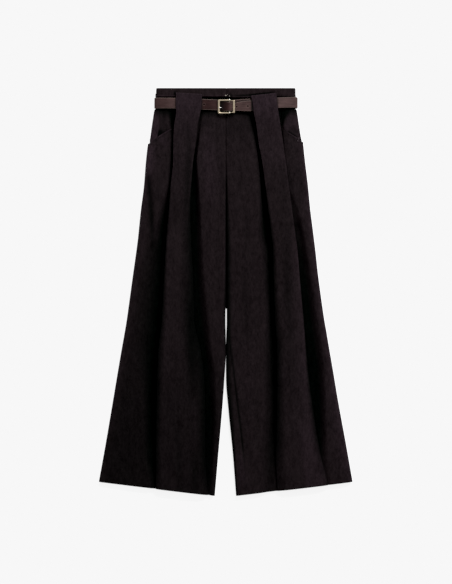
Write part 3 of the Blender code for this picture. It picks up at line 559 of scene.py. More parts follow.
PUNCHED_ROWS = (
    (-160, 491.0, 14.0, STRAP_WIDTH, STRAP_THICK, 0.28, 0),
    (-135, 490.7, 14.0, STRAP_WIDTH, STRAP_THICK, 0.52, 0),
    (-80, 488.4, 14.0, STRAP_WIDTH, STRAP_THICK, 0.2, 0),
    (-60, 487.6, 14.0, STRAP_WIDTH, STRAP_THICK, 0.0, 0),
    (-45, 487.0, 14.0, STRAP_WIDTH, STRAP_THICK, 0.0, 0),
    (-28, 486.4, 14.0, STRAP_WIDTH, STRAP_THICK, 0.1, 0),
    (-19, 485.8, 13.9, STRAP_WIDTH, STRAP_THICK, 0.0, 0.2),
    (-12.5, 484.8, 14.2, STRAP_WIDTH, STRAP_THICK, 0.0, 0.9),
    (-6, 483.6, 15.4, 26.6, STRAP_THICK, 0.0, 0.8),
    (0, 482.6, 17.2, 25.0, STRAP_THICK, 0.0, 0.5),
    (5, 481.8, 19.3, 23.0, STRAP_THICK, 0.05, 0.3),
    (10.5, 481.2, 21.1, 21.4, STRAP_THICK, 0.2, 0.0),
    (15, 480.9, 20.0, 20.6, STRAP_THICK, 0.35, 0.0),
    (20, 480.8, 17.6, 20.2, STRAP_THICK, 0.5, 0.0),
    (26, 480.9, 17.1, 20.8, STRAP_THICK, 0.45, 0.0),
    (38, 482.1, 17.1, 23.8, STRAP_THICK, 0.55, 0.0),
    (51, 482.9, 17.1, 26.4, STRAP_THICK, 0.55, 0.0),
    (67, 483.2, 17.1, STRAP_WIDTH, STRAP_THICK, 0.5, 0.0),
    (80, 483.4, 17.1, STRAP_WIDTH, STRAP_THICK, 0.5, 0.0),
    (98, 484.0, 17.1, STRAP_WIDTH - 2, STRAP_THICK, 0.45, 0.0),
    (105, 484.2, 17.1, STRAP_WIDTH - 9, STRAP_THICK, 0.5, 0.0),
    (108, 484.3, 17.1, STRAP_WIDTH - 18, STRAP_THICK, 0.5, 0.0),
)
STRAP_POINTS = 56
STRAP_SQUARENESS = 8.0
TURN_RINGS = 25
WRAP_RINGS = 18
BACK_RINGS = 90
BACK_STARTS = 4  # past the middle of each half turn
# Painted sheen on the strap round each turn and along its back.
TURN_SHEEN = {"left": 0.3, "right": 0.75}
BACK_SHEEN = 0.2
# The cut edge, pale as edge paint and as a painted highlight, in shares of the half width; and the strap's
# painted shadows: above its punched end, which lies on top from this x, and beside each panel, as x,
# strength and width.
CUT_EDGE = (0.91, 0.06)
PUNCHED_END_X = 20
END_SHADOW_FROM = (22, 5)
END_SHADOW_TO = (112, 4)
END_SHADOW_ABOVE = 1.2
END_SHADOW_WIDTH = 2.3
END_SHADOW_BELOW = 1.6  # this far above the front run's middle the punched end itself starts
END_SHADE = 0.95
TUCKED_AT = ((-128.5, 0.35, 3.2), (-61.5, 0.6, 3.2), (70.5, 2.5, 2.6), (136.0, 0.6, 3.2))
# Holes, as x, y, z and the length of the punch, and the ring pressed round each.
BELT_HOLES = {
    "near": (-55.3, 487.5, 14.0, 6.0),
    "second": (29.6, 481.0, 17.1, 3.4),
    "far": (58.6, 482.3, 17.1, 3.4),
}
HOLE_RADIUS = 1.9
HOLE_POINTS = 24
HOLE_SHADE = 0.8
RING_RADIUS = 3.4
RING_WIDTH = 0.9
RING_PALE = 0.35
RING_DEPTH = 1.5
BAR_X = 11.0
BAR_Z = 16.4
BAR_RADIUS = 1.3
BUCKLE_AT = (3.35, BUCKLE_Y - 0.8, 19.7)
BUCKLE_TILT = math.radians(4.5)
# The frame, measured from its own middle: outlines in steps, a tall loop towards the prong's tip and a
# shorter end bar, joined by a thin link on each side.
BUCKLE_OUTER = {"left": 22.5, "right": 21.9, "loop": 18.4, "link": 16.0, "end": 16.6}
BUCKLE_OPENING = {"left": 17.4, "right": 16.6, "loop": 14.6}
LINK_FROM = 9.0
LINK_TO = 15.4
BUCKLE_THICK = 3.4
LINK_THINNER = 0.5
LINK_LOWER = 0.6
LINK_STEP = 0.8
HINGE_Y = 16.6
FRAME_RINGS = 480
FRAME_POINTS = 20
FRAME_SQUARENESS = 3.4
# The posts start a little below the bar's middle. Their heads widen over this stretch, and round off
# from the last share.
POST_BELOW = 0.3
POST_HEIGHT = 6.4
POST_RADIUS = 1.2
POST_RINGS = 18
HEAD_WIDER = 0.6
HEAD_FROM = (0.6, 0.1)
HEAD_ROUNDS = 0.8
BAR_RINGS = 12
PRONG_RADIUS = 1.1
PRONG_POINTS = 16
PRONG_SQUARENESS = 2.6
PRONG_STEP = 0.6
PRONG_BLUNT = 0.965
PRONG_Y = 478.2
PRONG_ROUTE = (
    (7.6, 15.0),
    (4.0, 13.6),
    (-1.0, 12.3),
    (-5.5, 12.3),
    (-8.0, 14.2),
    (-9.6, 17.4),
    (-11.2, 20.2),
    (-13.4, 21.5),
    (-15.2, 21.6),
    (-16.6, 21.4),
)
CLOSURE = {
    "waist_hook": {"x": 1.6, "y": 510.6, "size": (5.0, 2.8, 1.0)},
    "waist_bar": {"x": 11.2, "y": 508.8, "size": (2.4, 2.2, 0.8)},
}
CLOSURE_Z = 14.8
PLATE_POINTS = 40
PLATE_RINGS = 11
PLATE_SQUARENESS = 5.0
PLATE_ROUNDING = 0.25

# ---------------------------------------------------------------- colours, as linear light
AUBERGINE = (0.0098, 0.0070, 0.0078)
# Painted shade on the cloth, and the tint of its painted highlight.
PAINTED_SHADE_TONE = (0.0011, 0.0016, 0.0013)
HIGHLIGHT_TINT = (1.9, 1.75, 1.97)
# The waistband's cloth: the trouser colour painted a little paler, standing in for the light on it.
BAND_LIT_TONE = (0.0115, 0.0078, 0.0086)
BELT_DARK = (0.020, 0.0075, 0.0072)
# Painted sheen on the belt's face.
BELT_SHEEN_TONE = (0.068, 0.042, 0.040)
# The cut edge: edge paint and a painted highlight.
BELT_EDGE = (0.12, 0.088, 0.078)
BELT_SHADOW_TONE = (0.001, 0.0006, 0.0006)
THREAD_DARK = (0.012, 0.008, 0.010)
THREAD_PALE = (0.066, 0.051, 0.057)
CHAMPAGNE = (0.62, 0.52, 0.38)
NICKEL = (0.92, 0.91, 0.89)
POLISHED = (0.95, 0.92, 0.84)
WORN_NICKEL = (0.34, 0.31, 0.27)
FLOOR_WHITE = (0.50, 0.50, 0.50)


# ---------------------------------------------------------------- curves and grids
def values(rows, columns, name):
    """One named column of a table."""
    return np.array([row[columns.index(name)] for row in rows], float)


def column(rows, columns, name, y):
    """A named column at any y: cubic pieces through the rows, with slopes that never overshoot them."""
    ys = values(rows, columns, "y")[::-1]
    heights = values(rows, columns, name)[::-1]
    steps = np.diff(ys)
    slopes = np.diff(heights) / steps
    product = slopes[:-1] * slopes[1:]
    weight = (steps[1:] * slopes[:-1] + steps[:-1] * slopes[1:]) / (steps[1:] + steps[:-1])
    inner = np.where(product > 0, product / np.where(product > 0, weight, 1), 0.0)
    tangents = np.concatenate([slopes[:1], inner, slopes[-1:]])
    y = np.clip(y, ys[0], ys[-1])
    i = np.clip(np.searchsorted(ys, y) - 1, 0, len(steps) - 1)
    t = (y - ys[i]) / steps[i]
    return (
        (2 * t**3 - 3 * t**2 + 1) * heights[i]
        + (t**3 - 2 * t**2 + t) * steps[i] * tangents[i]
        + (3 * t**2 - 2 * t**3) * heights[i + 1]
        + (t**3 - t**2) * steps[i] * tangents[i + 1]
    )


def smoothstep(t):
    """0 up to 0, 1 from 1 on, and a smooth cubic between."""
    t = np.clip(t, 0.0, 1.0)
    return t * t * (3 - 2 * t)


def above(value, level, width):
    """0 up to a level, then smoothly to 1 over a width above it."""
    return smoothstep((value - level) / width)


def below(value, level, width):
    """0 down to a level, then smoothly to 1 over a width below it."""
    return smoothstep((level - value) / width)


def bell(distance, width):
    """Bell curve: 1 at no distance, 1/e at the width."""
    return np.exp(-((distance / width) ** 2))


def in_space(x, y, z):
    """Points from coordinates that broadcast against each other."""
    return np.stack(np.broadcast_arrays(x, y, z), axis=-1)


def lift(y):
    """Height of the back cloth's underside: raised over the belt, then down on the surface."""
    return BELT_LIFT * above(y, *LIFT_RISES)


def bed(y):
    """Middle height of front cloth that lies on the back cloth."""
    return lift(y) + CLOTH + CLEAR + CLOTH / 2


def slant(y):
    """How far below the outseam's y a cross-section reaches at the inseam."""
    share = np.clip((SLANT_START - y) / (SLANT_START - HEM_OUTER), 0.0, 1.0)
    return HEM_SLANT * share**SLANT_CURVE


def stations(*marks, step=3.6):
    """Heights down the leg, evenly spaced between the marks and exactly on them."""
    pieces = []
    for high, low in zip(marks[:-1], marks[1:]):
        count = max(1, math.ceil((high - low) / step))
        pieces.append(np.linspace(high, low, count, endpoint=False))
    return np.concatenate(pieces + [[marks[-1]]])[:, None]


def across(count, ends=True):
    """Shares from 0 to 1 as a row, with or without its last one."""
    return np.linspace(0, 1, count, endpoint=ends)[None, :]


class Leg:
    """One leg's columns at the heights y, as upright arrays that broadcast against a row across."""

    def __init__(self, side, y):
        self.side = side
        self.y = y
        self.sign = -1 if side == "left" else 1
        self.inward = -self.sign

    def at(self, name):
        """x, slope or softness from the leg's table."""
        return column(LEG_ROWS[self.side], LEG_COLUMNS, name, self.y)

    def height(self, name):
        """Height or roll from the table that both legs share."""
        return column(HEIGHT_ROWS, HEIGHT_COLUMNS, name, self.y)

    def place(self, x, z):
        """A section's points in space: the further inward, the further down along the slant."""
        share = (x - self.at("outseam")) / (self.at("inseam") - self.at("outseam"))
        return in_space(x, self.y + slant(self.y) * share, z)


def segment_distance(x, y, start, end):
    """Distance of each point from a straight segment, and how far along it the nearest point is."""
    along = np.subtract(end, start)
    share = ((x - start[0]) * along[0] + (y - start[1]) * along[1]) / (along @ along)
    share = np.clip(share, 0, 1)
    return np.hypot(x - start[0] - share * along[0], y - start[1] - share * along[1]), share


def creases(x, y, rows):
    """Rise and shade at each point: across a crease a bell curve, along it a sine arch, bowed sideways."""
    rise = np.zeros_like(x)
    shade = np.zeros_like(x)
    for x0, y0, x1, y1, bow, width, high, dark in rows:
        length = math.hypot(x1 - x0, y1 - y0)
        ux, uy = (x1 - x0) / length, (y1 - y0) / length
        along = ((x - x0) * ux + (y - y0) * uy) / length
        inside = np.clip(along, 0, 1)
        offset = (x - x0) * uy - (y - y0) * ux - bow * 4 * inside * (1 - inside)
        strength = bell(offset, width) * np.sin(math.pi * inside) ** ARCH_POWER
        rise += high * strength
        shade += dark * strength
    return rise, shade


def route_line(x, y, corners, width):
    """1 on a broken line through the corners, a bell curve beside it, fading over its last third."""
    nearest = np.full_like(x, np.inf)
    strength = np.zeros_like(x)
    stretches = list(zip(corners[:-1], corners[1:]))
    for i, (start, end) in enumerate(stretches):
        distance, share = segment_distance(x, y, start, end)
        closer = distance < nearest
        nearest = np.where(closer, distance, nearest)
        left_over = 1 - (i + share) / len(stretches)
        strength = np.where(closer, np.minimum(1, 3 * left_over), strength)
    return strength * bell(nearest, width)


# ---------------------------------------------------------------- meshes
def quads(rows, columns, wrap_rows=False, wrap_columns=False):
    """Corners of every cell of a grid, as one array."""
    r = np.arange(rows if wrap_rows else rows - 1)[:, None]
    c = np.arange(columns if wrap_columns else columns - 1)[None, :]
    next_r, next_c = (r + 1) % rows, (c + 1) % columns
    rows_of, rows_next = r * columns, next_r * columns
    corners = (rows_of + c, rows_of + next_c, rows_next + next_c, rows_next + c)
    return np.stack(corners, axis=-1).reshape(-1, 4)


def mesh_piece(name, points, faces, material, marks=None, flat=None):
    """A smooth mesh piece from points in millimetres, with its marks and its flat cloth coordinates."""
    mesh = bpy.data.meshes.new(name)
    faces = faces if isinstance(faces, list) else faces.tolist()
    mesh.from_pydata((points.reshape(-1, 3) * MM).tolist(), [], faces)
    mesh.shade_smooth()
    for mark, amount in (marks or {}).items():
        layer = mesh.attributes.new(mark, "FLOAT", "POINT")
        spread = np.broadcast_to(amount, points.shape[:-1])
        layer.data.foreach_set("value", spread.astype(np.float32).ravel())
    if flat is not None:
        corners = np.empty(len(mesh.loops), np.int32)
        mesh.loops.foreach_get("vertex_index", corners)
        layer = mesh.uv_layers.new(name="flat_cloth")
        layer.data.foreach_set("uv", flat.reshape(-1, 2)[corners].astype(np.float32).ravel())
    mesh.materials.append(material)
    piece = bpy.data.objects.new(name, mesh)
    bpy.context.scene.collection.objects.link(piece)
    return piece


def flat_cloth(grid):
    """Where each point lies on the flat cloth, in metres: its length across the section, and its y."""
    steps = np.linalg.norm(np.diff(grid, axis=1), axis=2)
    width = np.concatenate([np.zeros((len(grid), 1)), np.cumsum(steps, axis=1)], axis=1)
    middle = width[:, width.shape[1] // 2][:, None]
    return np.stack([width - middle, grid[..., 1]], axis=-1) * MM


def cloth_piece(name, grid, wall, marks, node):
    """A grid of points as a sheet of trouser cloth, with its wall and the flat size of its own sections."""
    middle = grid[len(grid) // 2]
    right = middle[-1, 0] > middle[0, 0]
    down = grid[-1, 0, 1] < grid[0, 0, 1]
    faces = quads(*grid.shape[:2])
    faces = faces[:, ::-1] if right == down else faces
    piece = mesh_piece(name, grid, faces, TWILL_CLOTH, marks, flat_cloth(grid))
    shell = piece.modifiers.new("wall", "SOLIDIFY")
    shell.thickness = wall * MM
    shell.offset = 0.0
    shell.use_quality_normals = True
    ride_and_replace(piece, "cloth", node)
    return piece


def ride_and_replace(piece, slot, *nodes):
    """Lets a piece ride on the part's one body and take the place of its solids; its slot is not used."""
    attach(piece, "root")
    if nodes:
        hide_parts(*nodes)


def rounded(count, squareness):
    """Points round a unit superellipse, the closed outline between an oval and a square."""
    angle = np.linspace(0, 2 * math.pi, count, endpoint=False)
    power = 2 / squareness
    return (
        np.sign(np.cos(angle)) * np.abs(np.cos(angle)) ** power,
        np.sign(np.sin(angle)) * np.abs(np.sin(angle)) ** power,
    )


def strap_outline(count, squareness):
    """The same closed outline with its points spaced evenly along the two flat faces."""
    along = np.sin(np.linspace(-math.pi / 2, math.pi / 2, count // 2 + 1))
    bulge = (1 - np.abs(along) ** squareness) ** (1 / squareness)
    return (
        np.concatenate([along[::-1][:-1], along[:-1]]),
        np.concatenate([bulge[::-1][:-1], -bulge[:-1]]),
    )


def ribbon(path, widths, thicknesses, count=28, squareness=7.0):
    """A flat strap along a path in the XZ plane: a superellipse, wide along Y, carried along it."""
    tangent = np.gradient(path[:, [0, 2]], axis=0)
    tangent /= np.linalg.norm(tangent, axis=1)[:, None]
    normal = np.stack([-tangent[:, 1], 0 * tangent[:, 0], tangent[:, 0]], axis=1)
    wide, thick = strap_outline(count, squareness)
    across_y = np.outer(widths / 2, wide)[..., None] * np.array([0, 1, 0])
    out = (np.outer(thicknesses / 2, thick))[..., None] * normal[:, None, :]
    return path[:, None, :] + across_y + out


def closed_strip(grid):
    """Faces of a tube of sections, with a lid on each end."""
    rows, columns = grid.shape[:2]
    faces = quads(rows, columns, wrap_columns=True).tolist()
    last = (rows - 1) * columns
    return faces + [list(range(columns))[::-1], [last + c for c in range(columns)]]


def outward(piece):
    """Turns a closed mesh's faces outwards."""
    work = bmesh.new()
    work.from_mesh(piece.data)
    bmesh.ops.recalc_face_normals(work, faces=work.faces)
    work.to_mesh(piece.data)
    work.free()
    return piece


# ---------------------------------------------------------------- shader groups and finishes
def add(tree, kind, **settings):
    """A new node with its settings."""
    node = tree.nodes.new(kind)
    for name, value in settings.items():
        setattr(node, name, value)
    return node


def connect(tree, source, target):
    """Links an output to an input."""
    tree.links.new(source, target)


def compute(tree, operation, first, second=None, clamp=False):
    """A Math node on sockets or numbers; returns its output."""
    node = add(tree, "ShaderNodeMath", operation=operation, use_clamp=clamp)
    for slot, value in zip(node.inputs, (first, second)):
        if value is None:
            continue
        if isinstance(value, (int, float)):
            slot.default_value = value
        else:
            connect(tree, value, slot)
    return node.outputs[0]


def times(tree, value, amount):
    """A product."""
    return compute(tree, "MULTIPLY", value, amount)


def plus(tree, value, amount):
    """A sum."""
    return compute(tree, "ADD", value, amount)


def noise(tree, vector, patches, detail):
    """Soft noise with so many patches in a metre."""
    node = add(tree, "ShaderNodeTexNoise")
    node.inputs["Scale"].default_value = patches
    node.inputs["Detail"].default_value = detail
    connect(tree, vector, node.inputs["Vector"])
    return node.outputs["Fac"]


def scaled(tree, vector, scale):
    """Coordinates scaled along each axis, so that a texture is drawn out or squeezed."""
    node = add(tree, "ShaderNodeMapping")
    node.inputs["Scale"].default_value = scale
    connect(tree, vector, node.inputs["Vector"])
    return node.outputs[0]


def mesh_mark(tree, name):
    """A mark that the mesh carries at each point."""
    return add(tree, "ShaderNodeAttribute", attribute_name=name).outputs["Fac"]


def new_group(name, inputs, outputs):
    """A shader group with named sockets; returns its tree, its inputs and its outputs by name."""
    tree = bpy.data.node_groups.new(name, "ShaderNodeTree")
    for socket, kind, value in inputs:
        made = tree.interface.new_socket(name=socket, in_out="INPUT", socket_type=kind)
        if value is not None:
            made.default_value = value
    for socket in outputs:
        tree.interface.new_socket(name=socket, in_out="OUTPUT", socket_type="NodeSocketFloat")
    return tree, add(tree, "NodeGroupInput").outputs, add(tree, "NodeGroupOutput").inputs


# Patches and flecks of the nap: how many in a metre, their detail, and how much each changes the shade.
NAP_PATCHES = ((7.0, 2.0, 0.24), (60.0, 2.0, 0.7), (160.0, 2.0, 1.2), (480.0, 1.0, 1.1))
NAP_FIBRES = 1500.0
YARN_SHARE = 0.35
DULL_SHARE = 0.16
COORDINATES = ("Vector", "NodeSocketVector", None)


def nap_group():
    """Brushed cloth: soft patches, flecks drawn out along the leg, and fine fibres, as a shade about 1 and
    a height."""
    inputs = [COORDINATES, ("Contrast", "NodeSocketFloat", 1.0)]
    tree, given, result = new_group("nap", inputs, ["Shade", "Height"])
    drawn_out = scaled(tree, given["Vector"], (1.0, 0.45, 1.0))
    total = None
    for patches, detail, share in NAP_PATCHES:
        flecks = compute(tree, "SUBTRACT", noise(tree, drawn_out, patches, detail), 0.5)
        part = times(tree, flecks, share)
        total = part if total is None else plus(tree, total, part)
    connect(tree, plus(tree, times(tree, total, given["Contrast"]), 1.0), result["Shade"])
    fibres = noise(tree, given["Vector"], NAP_FIBRES, 1.0)
    connect(tree, plus(tree, fibres, total), result["Height"])
    return tree


def twill_group():
    """Diagonal twill ribs on the flat cloth: a sine across the diagonal, cut by a finer one along it."""
    inputs = [COORDINATES, ("Ribs per metre", "NodeSocketFloat", 1100.0)]
    tree, given, result = new_group("twill", inputs, ["Height"])
    split = add(tree, "ShaderNodeSeparateXYZ")
    connect(tree, given["Vector"], split.inputs[0])
    pitch = times(tree, given["Ribs per metre"], 2 * math.pi)
    diagonal = plus(tree, split.outputs["X"], split.outputs["Y"])
    rib = compute(tree, "SINE", times(tree, diagonal, pitch))
    yarn = compute(tree, "SINE", times(tree, split.outputs["X"], times(tree, pitch, 2.0)))
    connect(tree, plus(tree, rib, times(tree, yarn, YARN_SHARE)), result["Height"])
    return tree


def grain_group():
    """Leather grain: small cells with soft pores and faint long stretch marks, as a height and a shade."""
    tree, given, result = new_group("leather grain", [COORDINATES], ["Height", "Shade"])
    cells = add(tree, "ShaderNodeTexVoronoi")
    cells.inputs["Scale"].default_value = 900.0
    connect(tree, given["Vector"], cells.inputs["Vector"])
    patches = noise(tree, given["Vector"], 60.0, 4.0)
    marks = noise(tree, scaled(tree, given["Vector"], (1.0, 9.0, 1.0)), 40.0, 3.0)
    pores = times(tree, cells.outputs["Distance"], 0.6)
    connect(tree, plus(tree, pores, marks), result["Height"])
    about_zero = compute(tree, "SUBTRACT", plus(tree, patches, marks), 1.0)
    connect(tree, plus(tree, times(tree, about_zero, 0.9), 1.0), result["Shade"])
    return tree


def scratch_group():
    """Fine straight polishing lines and a few dull patches on metal, as a roughness change and a height."""
    tree, given, result = new_group("polish", [COORDINATES], ["Dull", "Height"])
    lines = scaled(tree, given["Vector"], (1.0, 14.0, 1.0))
    connect(tree, noise(tree, given["Vector"], 120.0, 3.0), result["Dull"])
    connect(tree, noise(tree, lines, 600.0, 2.0), result["Height"])
    return tree


NAP = nap_group()
TWILL = twill_group()
GRAIN = grain_group()
POLISH = scratch_group()


def finish(name, colour, roughness, specular):
    """A new material with its Principled BSDF; returns both."""
    material = bpy.data.materials.new(name)
    material.use_nodes = True
    material.diffuse_color = (*colour, 1)
    shader = material.node_tree.nodes["Principled BSDF"]
    shader.inputs["Base Color"].default_value = (*colour, 1)
    shader.inputs["Roughness"].default_value = roughness
    shader.inputs["Specular IOR Level"].default_value = specular
    return material, shader


def placed(tree, group, source):
    """A shader group at the given coordinates; returns its outputs by name."""
    node = add(tree, "ShaderNodeGroup", node_tree=group)
    connect(tree, source, node.inputs["Vector"])
    return node.outputs


def mix_colour(tree, factor, first, second, blend="MIX"):
    """Two colours mixed; each value is a number, a colour or a socket."""
    node = add(tree, "ShaderNodeMix", data_type="RGBA", blend_type=blend)
    for index, value in ((0, factor), (6, first), (7, second)):
        socket = node.inputs[index]
        if isinstance(value, (int, float)):
            socket.default_value = value
        elif isinstance(value, tuple):
            socket.default_value = (*value, 1)
        else:
            connect(tree, value, socket)
    return node.outputs[2]


def shaded(tree, tone, shade):
    """A tone multiplied by a shade about 1."""
    grey = add(tree, "ShaderNodeCombineXYZ")
    for socket in grey.inputs:
        connect(tree, shade, socket)
    return mix_colour(tree, 1.0, tone, grey.outputs[0], "MULTIPLY")


def bump(tree, height, strength, distance, normal=None):
    """A normal bent by a height, on top of another normal if there is one."""
    node = add(tree, "ShaderNodeBump")
    node.inputs["Strength"].default_value = strength
    node.inputs["Distance"].default_value = distance
    connect(tree, height, node.inputs["Height"])
    if normal is not None:
        connect(tree, normal, node.inputs["Normal"])
    return node.outputs["Normal"]


def cloth_finish(name, colour):
    """Matte aubergine-black twill with a soft nap. Shade is painted in, darkest in the folds, and
    highlights are painted paler along edges and lit stretches; both come from marks on the mesh."""
    material, shader = finish(name, colour, 0.92, 0.04)
    tree = material.node_tree
    shader.inputs["Sheen Weight"].default_value = 0.03
    shader.inputs["Sheen Roughness"].default_value = 0.45
    shader.inputs["Sheen Tint"].default_value = (0.55, 0.42, 0.50, 1)
    place = add(tree, "ShaderNodeTexCoord").outputs
    nap = placed(tree, NAP, place["Object"])
    twill = placed(tree, TWILL, place["UV"])
    pale = tuple(tint * c for tint, c in zip(HIGHLIGHT_TINT, colour))
    tone = mix_colour(tree, mesh_mark(tree, "painted_shade"), colour, PAINTED_SHADE_TONE)
    tone = mix_colour(tree, mesh_mark(tree, "painted_highlight"), tone, pale)
    connect(tree, shaded(tree, tone, nap["Shade"]), shader.inputs["Base Color"])
    ribs = bump(tree, twill["Height"], 0.25, 0.00008)
    connect(tree, bump(tree, nap["Height"], 0.35, 0.0006, ribs), shader.inputs["Normal"])
    return material


def leather_finish(name):
    """Dark red-brown leather, dry, with painted sheen along some stretches and painted shadow: fine grain,
    small shade changes, paler pressed rings round the holes, and a cut edge pale as edge paint and as a
    painted highlight."""
    material, shader = finish(name, BELT_DARK, 0.5, 0.1)
    tree = material.node_tree
    place = add(tree, "ShaderNodeTexCoord").outputs["Object"]
    grain = placed(tree, GRAIN, place)
    rings = None
    for x, y, z, _ in BELT_HOLES.values():
        distance = add(tree, "ShaderNodeVectorMath", operation="DISTANCE")
        connect(tree, place, distance.inputs[0])
        distance.inputs[1].default_value = (x * MM, y * MM, (z + STRAP_THICK / 2) * MM)
        offset = compute(tree, "SUBTRACT", distance.outputs["Value"], RING_RADIUS * MM)
        share = times(tree, compute(tree, "ABSOLUTE", offset), 1 / (RING_WIDTH * MM))
        ring = compute(tree, "SUBTRACT", 1.0, share, clamp=True)
        rings = ring if rings is None else compute(tree, "MAXIMUM", rings, ring)
    tone = mix_colour(tree, mesh_mark(tree, "painted_sheen"), BELT_DARK, BELT_SHEEN_TONE)
    tone = mix_colour(tree, times(tree, rings, RING_PALE), tone, BELT_EDGE)
    tone = mix_colour(tree, mesh_mark(tree, "edge"), tone, BELT_EDGE)
    tone = mix_colour(tree, times(tree, mesh_mark(tree, "shadow"), 0.95), tone, BELT_SHADOW_TONE)
    connect(tree, shaded(tree, tone, grain["Shade"]), shader.inputs["Base Color"])
    rough = plus(tree, 0.36, times(tree, grain["Shade"], 0.16))
    connect(tree, rough, shader.inputs["Roughness"])
    height = compute(tree, "SUBTRACT", grain["Height"], times(tree, rings, RING_DEPTH))
    connect(tree, bump(tree, height, 0.35, 0.00015), shader.inputs["Normal"])
    return material


def metal_finish(name, colour, roughness):
    """Polished metal, or metal dulled by wear, with fine lines and dull patches."""
    material, shader = finish(name, colour, roughness, 0.5)
    shader.inputs["Metallic"].default_value = 1.0
    tree = material.node_tree
    polish = placed(tree, POLISH, add(tree, "ShaderNodeTexCoord").outputs["Object"])
    rough = plus(tree, roughness - DULL_SHARE / 2, times(tree, polish["Dull"], DULL_SHARE))
    connect(tree, rough, shader.inputs["Roughness"])
    connect(tree, bump(tree, polish["Height"], 0.08, 0.00005), shader.inputs["Normal"])
    return material


TWILL_CLOTH = cloth_finish("trouser_cloth", AUBERGINE)
BAND_CLOTH_FINISH = cloth_finish("waistband_cloth", BAND_LIT_TONE)
LEATHER = leather_finish("belt_leather")
DARK_THREAD = cloth_finish("dark_thread", THREAD_DARK)
PALE_THREAD = cloth_finish("pale_thread", THREAD_PALE)
GOLD = metal_finish("champagne_buckle", CHAMPAGNE, 0.28)
STEEL = metal_finish("nickel_prong", NICKEL, 0.42)
HEADS = metal_finish("polished_heads", POLISHED, 0.42)
FITTINGS = metal_finish("worn_nickel_fittings", WORN_NICKEL, 0.34)


# ---------------------------------------------------------------- the legs' cloth
def half_turn(edge, inward, top, low):
    """Half a turn of cloth round the outseam, from its low side to its top one."""
    angle = math.pi * (across(ROLL_COLUMNS, False) - 0.5)
    x = edge + inward * EDGE_ROLL * (1 - np.cos(angle))
    return x, (top + low) / 2 + (top - low) / 2 * np.sin(angle)


def front_grid(side):
    """Front of a leg. Across: a half turn round the outseam, a crest that falls off towards that edge, a
    cosine slope down into the pleat, the pleat's bottom, a slope up, the centre crest, and a roll at the
    inner edge. Returns the leg, the points, the shade painted on each one in the pleat, how much of it
    faces up, and its section's x."""
    outer_end, inner_end = MOUTH[side][0][1], MOUTH[side][-1][1]
    upper = stations(BODY_TOP, MOUTH_TOP, step=LEG_STEP)[:-1]
    fine = stations(MOUTH_TOP, inner_end, outer_end, MOUTH_FOOT, step=MOUTH_STEP)[:-1]
    leg = Leg(side, np.concatenate([upper, fine, stations(MOUTH_FOOT, HEM_OUTER, step=LEG_STEP)]))
    y, inward = leg.y, leg.inward
    low = bed(y)
    crest, centre = leg.height("side"), leg.height("centre")
    outseam, inseam = leg.at("outseam"), leg.at("inseam")
    side_fold, centre_fold = leg.at("side_fold"), leg.at("centre_fold")
    head = side_fold + inward * leg.at("side_slope")
    foot = centre_fold - inward * leg.at("centre_slope")
    opening = below(y, *FOLD_OPENING)
    side_shut, centre_shut = (1 - FOLD_OPENS[side, part] * opening for part in ("side", "centre"))
    side_shut = side_shut * (1 - HIP_OPENS[side] * above(y, *HIP_FOOT) * below(y, *HIP_TOP))
    side_low = crest - (crest - low) * side_shut
    centre_low = centre - (centre - low) * centre_shut

    shoulder = crest - SHOULDER_SINKS * np.clip((side_fold - outseam) * inward / SHOULDER_WIDTH, 0, 1)
    roll_x, roll_z = half_turn(outseam, inward, shoulder, low)
    flat = across(FLAT_COLUMNS, False)
    flat_x = outseam + inward * EDGE_ROLL + (side_fold - outseam - inward * EDGE_ROLL) * flat
    flat_z = crest - (crest - shoulder) * (1 - flat) ** 2 + FLAT_PUFF * np.sin(math.pi * flat)
    slope = across(SLOPE_COLUMNS, False)
    down_x = side_fold + inward * leg.at("side_slope") * slope
    down_z = side_low + (crest - side_low) * (1 + np.cos(math.pi * slope)) / 2
    bottom = across(BOTTOM_COLUMNS, False)
    bottom_x = head + (foot - head) * bottom
    bottom_z = side_low + (centre_low - side_low) * smoothstep(bottom)
    up_x = foot + (centre_fold - foot) * slope
    up_z = centre_low + (centre - centre_low) * (1 - np.cos(math.pi * slope)) / 2
    end_angle = math.pi / 2 - math.pi * leg.height("inner_roll") * across(END_COLUMNS)
    reach = EDGE_ROLL * np.cos(end_angle)
    end_x = inseam - inward * (reach.max(axis=1, keepdims=True) - reach)
    end_z = (centre + low) / 2 + (centre - low) / 2 * np.sin(end_angle)
    middle = across(CENTRE_COLUMNS, False)
    middle_x = centre_fold + (end_x[:, :1] - centre_fold) * middle
    middle_z = centre + CENTRE_PUFF * np.sin(math.pi * middle)

    x = np.concatenate([roll_x, flat_x, down_x, bottom_x, up_x, middle_x, end_x], axis=1)
    z = np.concatenate([roll_z, flat_z, down_z, bottom_z, up_z, middle_z, end_z], axis=1)
    side_dark = column(PLEAT_ROWS[side], PLEAT_COLUMNS, "side", y)
    centre_dark = column(PLEAT_ROWS[side], PLEAT_COLUMNS, "centre", y)
    across_dark = side_dark + (centre_dark - side_dark) * bottom
    up_dark = (1 - slope) * centre_dark
    edge_parts = (0 * roll_x, 0 * flat_x, slope * side_dark)
    inner_parts = (across_dark, up_dark, 0 * middle_x, 0 * end_x)
    painted_shade = np.concatenate([part + 0 * y for part in edge_parts + inner_parts], axis=1)
    between = np.ones((1, x.shape[1] - ROLL_COLUMNS - END_COLUMNS))
    turned = smoothstep(across(ROLL_COLUMNS, False))
    faces_up = np.concatenate([turned, between, 1 - across(END_COLUMNS)], axis=1)
    x, z, painted_shade, faces_up = cut_mouth(side, y, x, z, painted_shade, faces_up + 0 * y)
    return leg, leg.place(x, z), painted_shade, faces_up, x


def mouth_x(side, y):
    """x of the pocket's mouth at each height: along its slanted line, then straight up to the waist."""
    line = np.array(MOUTH[side], float)
    return np.interp(y, line[:, 1], line[:, 0])


